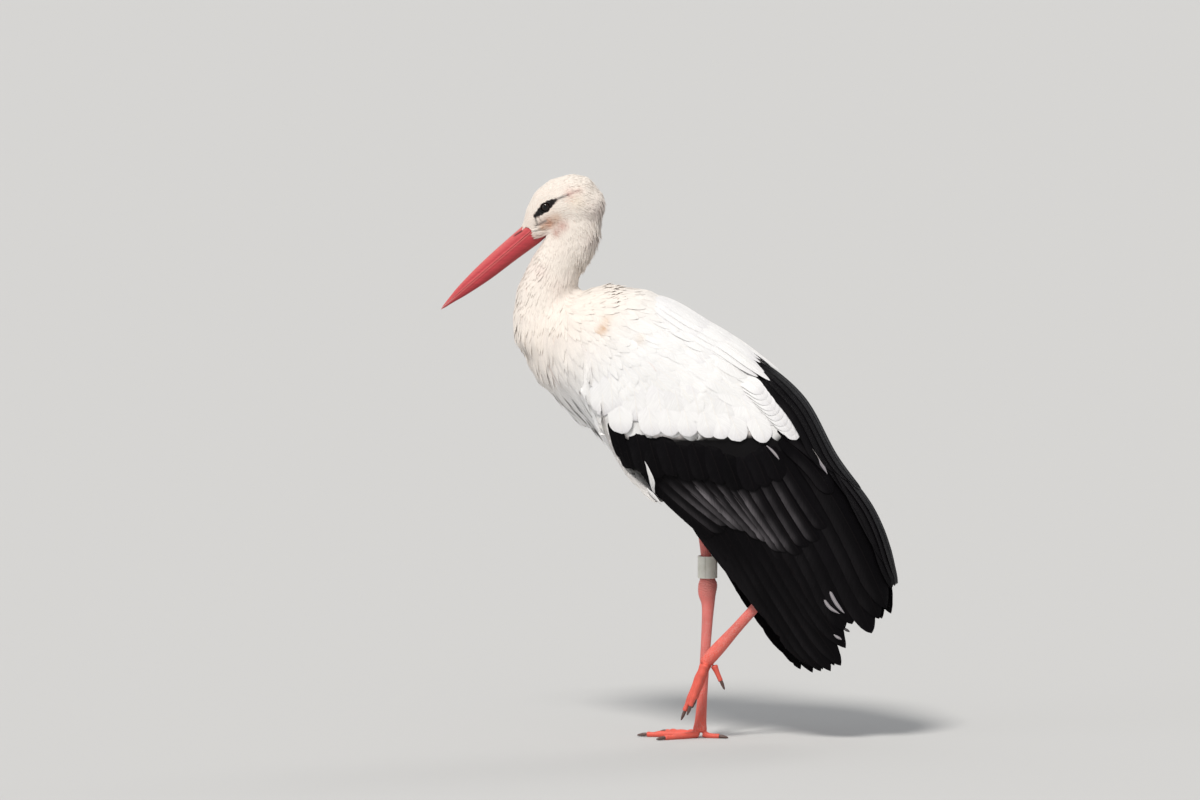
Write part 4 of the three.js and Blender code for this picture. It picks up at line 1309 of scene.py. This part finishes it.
def detail_leg(piece, foot):
    """Folds, cross plates and colour worked into a leg's skin."""
    places, normals, _ = mesh_arrays(piece.data)
    table = in_table(places)
    # Loose folds round the ankle, and finer ones where each toe bends.
    fold_y, fold_z, reach = FOLDS[foot]
    near = bell(np.hypot(table[:, 1] - fold_y, table[:, 2] - fold_z), reach)
    wave = np.sin((table[:, 2] + 0.35 * table[:, 1] + 1.5 * np.sin(table[:, 0] * 0.35)) * 1.75)
    push = near * (0.95 * wave + 0.3)
    lowest = np.full(len(table), 1e9)
    plate = np.zeros(len(table))
    for kind, (length, thick, joints, *_) in TOES.items():
        course, heading, _ = toe_course(foot, kind)
        from_root = (table - course[0, :3]) @ heading
        centre = spline(course, np.clip(from_root / length, 0, 1))[0][:, :3]
        gap = np.linalg.norm(table - centre, axis=1)
        best = (gap < lowest) & (gap < thick * 1.7) & (from_root > -2)
        lowest = np.where(best, gap, lowest)
        plate = np.where(best, from_root, plate)
        bend = np.abs(np.sin(from_root / length * joints * math.pi))
        push = np.where(best, -0.16 * (1 - bend) ** 2 * np.cos(from_root * 3.3), push)
    on_toe = lowest < 50
    places = places + normals * (push * MM)[:, None]
    places[:, 2] = np.maximum(places[:, 2], 0.0)
    move_points(piece.data, places)
    down = smoothstep(-table[:, 2], *REDDENS[foot])
    pale = 0.35 * near + 0.25 * (table[:, 2] > 262) * (foot == "left")
    colour = mixed(LEG_PINK, LEG_RED, np.maximum(down, on_toe)[:, None])
    colour = np.clip(mixed(colour, LEG_PALE, pale[:, None]), 0, 1)
    paint_points(piece.data, "tint", np.concatenate([colour, on_toe[:, None]], axis=1))
    along = piece.data.attributes.new("along", "FLOAT", "POINT")
    along.data.foreach_set("value", plate * 0.1)


def scaly_material():
    """Leg skin: scales divided by pale lines on the shanks, plates across the toes."""
    material, tree = blank("leg_skin")
    place, tint, along = own_place(tree), painted(tree), painted(tree, "along")
    scales = {"Vector": place, "Scale": 420.0, "Randomness": 0.75}
    cells = node_of(tree, "TexVoronoi", scales, {"feature": "DISTANCE_TO_EDGE"}).outputs["Distance"]
    shades = node_of(tree, "TexVoronoi", scales).outputs["Distance"]
    plates = sums(tree, "SINE", sums(tree, "MULTIPLY", along["Fac"], 21.0))
    plates = sums(tree, "POWER", sums(tree, "ABSOLUTE", plates), 0.4)
    domes = node_of(tree, "MapRange", {"Value": cells, "From Min": 0.0, "From Max": 0.22})
    domes = sums(tree, "POWER", domes.outputs[0], 0.6)
    on_toe = sums(tree, "MULTIPLY", tint["Alpha"], 0.8)
    height = node_of(tree, "Mix", {"Factor": on_toe, "A": domes, "B": plates}).outputs["Result"]
    tone = sums(tree, "MULTIPLY_ADD", noise(tree, place, 60.0, 4.0), 0.5, 0.72)
    tone = sums(tree, "MULTIPLY_ADD", shades, -0.12, tone)
    seams = sums(tree, "MULTIPLY_ADD", height, -0.45, 0.45)
    return dressed(material, {
        "Base Color": blended(tree, seams, scaled(tree, tint["Color"], tone), (0.74, 0.42, 0.38)),
        "Normal": relief(tree, height, 0.55, 0.0005),
        "Roughness": 0.48,
        "Specular IOR Level": 0.4,
    })


leg_material = scaly_material()
for foot in ("left", "right"):
    leg = leg_skin(foot)
    detail_leg(leg, foot)
    leg.data.materials.append(leg_material)
    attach(leg, "root")
    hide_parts(f"tibia_{foot}", f"tarsus_{foot}", *[f"toe_{kind}_{foot}" for kind in TOES])

# ------------------------------------------------------------------------------------------- claws
# A short, flattened nail of dark horn on each toe, set into the skin and bent a little down. The
# nails of one foot are cut in one run and make one piece.

# Sections of a claw: reach past the toe's end, part of the droop, and size.
CLAW_SECTIONS = [
    (-3.5, 0.0, 0.9), (0.5, 0.0, 1.0), (4.0, 0.2, 0.98), (8.0, 0.6, 0.74), (10.6, 0.85, 0.5),
    (12.2, 1.0, 0.2),
]
CLAW_WIDTH = 3.3
CLAW_HEIGHT = 2.7
CLAW_DROOP = {"left": 0.4, "right": 1.6}


def horn_material(name, dark, light, rough, scale):
    """Horn with fine grain: streaks of two tones and a soft shine."""
    material, tree = blank(name)
    grain = noise(tree, own_place(tree), scale, 5.0, 0.6)
    return dressed(material, {
        "Base Color": blended(tree, grain, (*dark, 1), light),
        "Normal": relief(tree, grain, 0.2, 0.0003),
        "Roughness": rough,
    })


claw_material = horn_material("claw", (0.03, 0.018, 0.016), (0.16, 0.085, 0.07), 0.4, 600.0)
for foot in ("left", "right"):
    form = bmesh.new()
    for kind in TOES:
        course, heading, width = toe_course(foot, kind)
        rows = []
        for reach, drooped, size in CLAW_SECTIONS:
            centre = course[-1, :3] + heading * reach - (0, 0, CLAW_DROOP[foot] * drooped)
            rows.append((*centre, CLAW_WIDTH * size, CLAW_HEIGHT * size, CLAW_HEIGHT * size * 0.8))
        drawn_out(form, rows, side=width, around=16, rings=20)
    for vert in form.verts:
        vert.co.z = max(vert.co.z, 0.0)
    bmesh.ops.recalc_face_normals(form, faces=form.faces)
    claws = link(f"claws_{foot}", mesh_of(form, f"claws_{foot}"))
    claws.data.materials.append(claw_material)
    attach(claws, "root")
    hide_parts(*[f"claw_{kind}_{foot}" for kind in TOES])

# ---------------------------------------------------------------------------------------- leg ring
# A plain white plastic sleeve round the right leg, just above the ankle, a little weathered, with
# the lap where its two ends meet.

RING_PLACE = (-17.0, 51.5, 224.0)
RING_RADIUS = 13.8
RING_WALL = 2.0
RING_HEIGHT = 31.0
RIM_ROUND = 0.0005
LAP_ANGLE = math.radians(-35)
LAP_WIDTH = 0.5
LAP_STEP = 0.0006
ring_form = bmesh.new()
low, high = RING_PLACE[2], RING_PLACE[2] + RING_HEIGHT
inner, outer = RING_RADIUS - RING_WALL, RING_RADIUS
profile = [ring_form.verts.new(metres((RING_PLACE[0] + r, RING_PLACE[1], z))) for r, z in
           ((inner, low), (outer, low), (outer, high), (inner, high))]
loop = [ring_form.edges.new((profile[i], profile[(i + 1) % 4])) for i in range(4)]
middle = Vector(metres(RING_PLACE))
bmesh.ops.spin(ring_form, geom=profile + loop, cent=middle, axis=(0, 0, 1), angle=math.tau, steps=96,
               use_merge=True)
bmesh.ops.remove_doubles(ring_form, verts=ring_form.verts, dist=1e-6)
rims = [e for e in ring_form.edges if len(e.link_faces) == 2 and e.calc_face_angle() > 1.0]
bmesh.ops.bevel(ring_form, geom=rims, offset=RIM_ROUND, segments=3, profile=0.5, affect="EDGES",
                material=-1)
for vert in ring_form.verts:
    outward = Vector((vert.co.x - middle.x, vert.co.y - middle.y, 0))
    if 0 < math.atan2(outward.y, outward.x) - LAP_ANGLE < LAP_WIDTH:
        vert.co += outward.normalized() * LAP_STEP
bmesh.ops.recalc_face_normals(ring_form, faces=ring_form.faces)
ring = link("leg_ring", mesh_of(ring_form, "leg_ring", smooth=False))
ring_material = horn_material("ring_plastic", (0.52, 0.50, 0.40), (0.86, 0.85, 0.80), 0.45, 90.0)
ring.data.materials.append(ring_material)
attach(ring, "root")
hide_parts("leg_ring_right")

# -------------------------------------------------------------------------------------------- bill
# Two long red mandibles of horn. The upper has a keel, a slit nostril and a shallow groove before
# it, and their cutting edges meet on a straight line from gape to tip.

# Sections from tip to root: x, y, z, half width, over and under the centre. Then the mouth line and
# the nostril, both as start and end (y, z).
BILL = [
    (0, -323.5, 598.6, 0.9, 0.8, 0.8),
    (0, -308, 613, 3.3, 4.4, 5.0),
    (0, -292.4, 626.9, 5.5, 7.7, 9.2),
    (0, -262, 652.5, 8.5, 11.7, 13.9),
    (0, -227, 682.5, 11.3, 13.3, 16.7),
    (0, -192, 711.5, 12.9, 13.8, 18.9),
    (0, -176, 725.0, 11.0, 10, 15),
]
MOUTH = ((-340, 585.5), (-160, 739))
MOUTH_GAP = 0.00022
NOSTRIL = ((-206.5, 711.6), (-218.5, 703.6))
# Painted light on the bill: a pale colour for the painted highlight on faces turned up and for the cutting
# edge, and a deep red painted shade for faces turned down.
BILL_RED = np.array((0.46, 0.045, 0.055))
BILL_SHADE = np.array((0.26, 0.012, 0.018))
BILL_PALE_AND_HIGHLIGHT = np.array((0.62, 0.15, 0.14))
# Near black painted shade in the nostril's slit.
NOSTRIL_SHADE = np.array((0.05, 0.008, 0.01))


def from_line(points, line):
    """How far (y, z) places lie beside a line, how far along it, and its length."""
    (start_y, start_z), (end_y, end_z) = line
    length = math.hypot(end_y - start_y, end_z - start_z)
    ahead = np.array(((end_y - start_y) / length, (end_z - start_z) / length))
    gap = points - np.array((start_y, start_z))
    return gap @ np.array((-ahead[1], ahead[0])), gap @ ahead, length


def bill_half(name, upper):
    """One mandible: the bill's form cut along the mouth line, with its edges and grooves."""
    form = bmesh.new()
    drawn_out(form, BILL, around=112, rings=220, power=2.15)
    (y0, z0), (y1, z1) = MOUTH
    normal = Vector((0, z0 - z1, y1 - y0)).normalized()
    origin = Vector(metres((0, y0, z0))) + normal * (MOUTH_GAP if upper else -MOUTH_GAP)
    geometry = form.verts[:] + form.edges[:] + form.faces[:]
    cut = bmesh.ops.bisect_plane(form, geom=geometry, plane_co=origin, plane_no=normal,
                                 clear_inner=upper, clear_outer=not upper)
    rim = [item for item in cut["geom_cut"] if isinstance(item, bmesh.types.BMEdge)]
    bmesh.ops.holes_fill(form, edges=rim, sides=0)
    bmesh.ops.recalc_face_normals(form, faces=form.faces)
    mesh = mesh_of(form, name)
    places, normals, _ = mesh_arrays(mesh)
    table = in_table(places)
    side = np.abs(normals[:, 0])
    over_mouth, along_mouth, _ = from_line(table[:, 1:], MOUTH)
    thin = smoothstep(along_mouth, 20, 90)
    from_mouth = np.abs(over_mouth)
    push = (0.28 * bell(from_mouth - 1.3, 1.0) - 0.30 * bell(from_mouth - 3.6, 1.1)) * thin * side
    dark = np.zeros(len(table))
    if upper:
        beside, reach, length = from_line(table[:, 1:], NOSTRIL)
        opening = smoothstep(reach, -1, 2)
        within = opening * (1 - smoothstep(reach, length - 2, length + 1))
        push += (0.35 * bell(beside + 2.0, 1.2) - 1.6 * bell(beside, 0.95)) * within * side
        groove = smoothstep(reach, length, length + 6) * (1 - smoothstep(reach, length + 22, length + 52))
        push -= 0.45 * bell(beside, 1.3) * groove * side
        closing = 1 - smoothstep(reach, length - 1, length + 2)
        # Painted shade in the nostril's slit.
        dark = np.clip(1.3 * bell(beside, 1.15) * opening * closing * side, 0, 1)
    push += 0.07 * np.sin(over_mouth * 2.4 + 0.02 * along_mouth) * thin * side
    move_points(mesh, places + normals * (push * MM)[:, None])
    # Pale along the cutting edge. Painted highlight on the faces turned up, the keel among them, and
    # painted shade, deep red, on those turned down and in the grooves.
    painted_highlight, down = smoothstep(normals[:, 2:], 0.0, 0.8), smoothstep(-normals[:, 2:], 0.0, 0.9)
    edge = bell(from_mouth - 1.2, 0.9)[:, None]
    colour = mixed(mixed(BILL_RED, BILL_PALE_AND_HIGHLIGHT, painted_highlight * 0.8), BILL_SHADE, down * 0.65)
    colour = mixed(mixed(colour, BILL_PALE_AND_HIGHLIGHT, edge * 0.55), NOSTRIL_SHADE, dark[:, None])
    paint_points(mesh, "tint", np.clip(colour, 0, 1))
    piece = link(name, mesh)
    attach(piece, "root")
    return piece


def bill_material():
    """Red horn: fine lines along the bill, mottled tone and a soft shine."""
    material, tree = blank("bill")
    turned = {"Vector": own_place(tree), "Rotation": (math.radians(-40.5), 0, 0), "Scale": (420, 26, 420)}
    grain = noise(tree, node_of(tree, "Mapping", turned).outputs[0], 1.0, 5.0, 0.65)
    tone = sums(tree, "MULTIPLY_ADD", grain, 0.7, 0.65)
    return dressed(material, {
        "Base Color": scaled(tree, painted(tree)["Color"], tone),
        "Normal": relief(tree, grain, 0.25, 0.0003),
        "Roughness": 0.38,
        "Specular IOR Level": 0.4,
    })


horn = bill_material()
horn_trees = []
for name, upper in (("bill_upper", True), ("bill_lower", False)):
    mandible = bill_half(f"{name}_horn", upper)
    mandible.data.materials.append(horn)
    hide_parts(name)
    places, _, triangles = mesh_arrays(mandible.data)
    horn_trees.append(BVHTree.FromPolygons(places.tolist(), triangles.tolist()))

# Short feathers of the chin grow forward over the root of the lower mandible.
CHIN_ROWS = 7
CHIN_THICK = 0.00024
CHIN_COUNT = 150  # on each side
CHIN_RED = np.array((0.44, 0.22, 0.18))


def outermost(point, side):
    """How far from the bird's middle plane the skin or the horn lies at this place in side view."""
    start = Vector((side * 0.06, point[1], point[2]))
    hits = [tree.ray_cast(start, Vector((-side, 0, 0)), 0.06)[0] for tree in (skin.tree, *horn_trees)]
    return max([side * hit.x for hit in hits if hit is not None] + [0.0])


along = rows_at(CHIN_ROWS)
lines = []
for side in (1, -1):
    for _ in range(CHIN_COUNT):
        start = np.array((0, rng.uniform(-180, -160), 0.0))
        start[2] = 714.5 + 0.42 * (start[1] + 170) + rng.uniform(-8, 6)
        heading = np.array((0, -0.95, -0.24 + rng.uniform(-0.16, 0.16)))
        line = metres(start + heading * (rng.uniform(10, 17) * along)[:, None])
        out = np.array([outermost(point, side) for point in line])
        reach = np.maximum(eased(out[None])[0], out)
        line[:, 0] = side * (reach + (0.0002 + rng.uniform(0.0006, 0.0018) * along))
        lines.append(line)
line = np.array(lines)
count = len(line)
ups = np.zeros_like(line)
ups[..., 0] = np.sign(line[..., 0])
half = rng.uniform(0.0012, 0.0018, (count, 1)) * outline(CHIN_ROWS, 0.7, 0.4)
tint = markings(line.reshape(-1, 3)).reshape(count, CHIN_ROWS, 3)
low = smoothstep(-line[..., 2:] / MM, -712, -703) * 0.6
tint = np.clip(mixed(tint, CHIN_RED, low) * (1 + rng.normal(0, 0.06, (count, 1, 1))), 0, 1)
feathers("chin_feathers", line, ups, half, CHIN_THICK, THIN, 0.18, tint, white_feather)

# -------------------------------------------------------------------------------------------- eyes
# Dark brown, nearly black eyes: one glossy ball for each side, set from behind into the bare black
# skin, which stands up round it as a thin lid.

IRIS = np.array((0.012, 0.006, 0.004))
PUPIL = np.array((0.002, 0.002, 0.002))


def eye_material(name):
    """Dark and glossy, with fine rays in the iris."""
    material, tree = blank(name)
    tone = sums(tree, "MULTIPLY_ADD", noise(tree, own_place(tree), 1500.0, 3.0), 0.8, 0.6)
    return dressed(material, {
        "Base Color": scaled(tree, painted(tree)["Color"], tone),
        "Roughness": 0.12,
        "Specular IOR Level": 0.05,
        "Coat Weight": 0.5,
        "Coat Roughness": 0.02,
    })


for side, name in ((1, "left"), (-1, "right")):
    ball = bmesh.new()
    bmesh.ops.create_uvsphere(ball, u_segments=48, v_segments=32, radius=EYE_RADIUS * MM)
    bmesh.ops.rotate(ball, verts=ball.verts, cent=(0, 0, 0), matrix=Matrix.Rotation(math.pi / 2, 3, "Y"))
    centre = Vector(metres((side * EYE[0], EYE[1], EYE[2])))
    bmesh.ops.translate(ball, verts=ball.verts, vec=centre)
    eye = link(f"eyeball_{name}", mesh_of(ball, f"eyeball_{name}"))
    places, _, _ = mesh_arrays(eye.data)
    ring = np.hypot(places[:, 1] - centre.y, places[:, 2] - centre.z)[:, None] / MM
    colour = mixed(PUPIL, IRIS * (0.8 + 0.5 * smoothstep(ring, 3.0, 5.0)), smoothstep(ring, 2.6, 3.0))
    paint_points(eye.data, "tint", colour * (1 - 0.9 * smoothstep(ring, 5.2, 6.2)))
    eye.data.materials.append(eye_material(f"eye_{name}"))
    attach(eye, "root")
    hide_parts(f"eye_{name}")

# -------------------------------------------------------------------------------------------- tail
# Twelve broad white feathers with stiff shafts, rooted in a row under the end of the back. They lie
# in a shallow roof, the middle pair on top, nearly hidden by the wings.

TAIL_ROOT = (146, 296)
TAIL_TIP = (243, 130)
TAIL_ROOT_HALF = 10.0
TAIL_HALF_SPREAD = 27.0
TAIL_ROWS = 24
TAIL_COUNT = 12
TAIL_ROOF = 4.0  # how far the middle pair lies over the outermost feathers
TAIL_HALF_WIDTH = 11.0  # of one feather
TAIL_THICK = 0.0004
part = np.linspace(-1, 1, TAIL_COUNT)[:, None]
run = np.array((0, TAIL_TIP[0] - TAIL_ROOT[0], TAIL_TIP[1] - TAIL_ROOT[1]), float)
upward = np.array((0, -run[2], run[1])) / np.linalg.norm(run)
along = rows_at(TAIL_ROWS)
line = (0, *TAIL_ROOT) + run * (along * (1 - 0.06 * np.abs(part)))[..., None]
line = line + upward * ((1 - np.abs(part)) * TAIL_ROOF)[..., None]
line[..., 0] = part * (TAIL_ROOT_HALF + (TAIL_HALF_SPREAD - TAIL_ROOT_HALF) * along)
ups = np.broadcast_to(upward, line.shape).copy()
half = np.full((TAIL_COUNT, 1), TAIL_HALF_WIDTH * MM) * outline(TAIL_ROWS, 0.1, 0.82)
tint = white_vane(TAIL_COUNT, along, wing_rng)
tail = feathers("tail_feathers", metres(line), ups, half, TAIL_THICK, VANED, 0.05, tint, white_feather)
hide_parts("tail")

# --------------------------------------------------------------------------------- floor and light
# A plain, light grey studio floor that runs on under the bird without an edge. A warm main lamp
# stands high at the bird's left, a weak cool one before it, a faint one beyond it, under an even sky.

FLOOR_REACH = 60.0
floor_form = bmesh.new()
bmesh.ops.create_grid(floor_form, x_segments=1, y_segments=1, size=FLOOR_REACH)
floor = link("floor", mesh_of(floor_form, "floor", smooth=False))
floor_material, _ = blank("floor")
dressed(floor_material, {"Base Color": (0.50, 0.497, 0.49, 1), "Roughness": 0.9})
floor.data.materials.append(floor_material)


def lamp(name, toward, spread, strength, colour):
    """A broad, far lamp: the direction it shines from, its spread in degrees and its strength."""
    data = bpy.data.lights.new(name, "SUN")
    data.angle = math.radians(spread)
    data.energy = strength
    data.color = colour
    link(name, data).rotation_euler = Vector(toward).to_track_quat("Z", "Y").to_euler()


lamp("key", (1.0, -0.25, 1.35), 14, 2.95, (1.0, 0.97, 0.925))
lamp("fill", (1.0, -1.4, 0.35), 40, 0.35, (0.93, 0.96, 1.0))
lamp("rim", (-1.0, 0.5, 1.0), 20, 0.3, (1.0, 0.98, 0.95))
world = bpy.data.worlds.new("studio")
world.use_nodes = True
set_inputs(world.node_tree.nodes["Background"], {"Color": (0.80, 0.82, 0.85, 1), "Strength": 0.62})
bpy.context.scene.world = world
bpy.context.scene.view_settings.view_transform = "Standard"
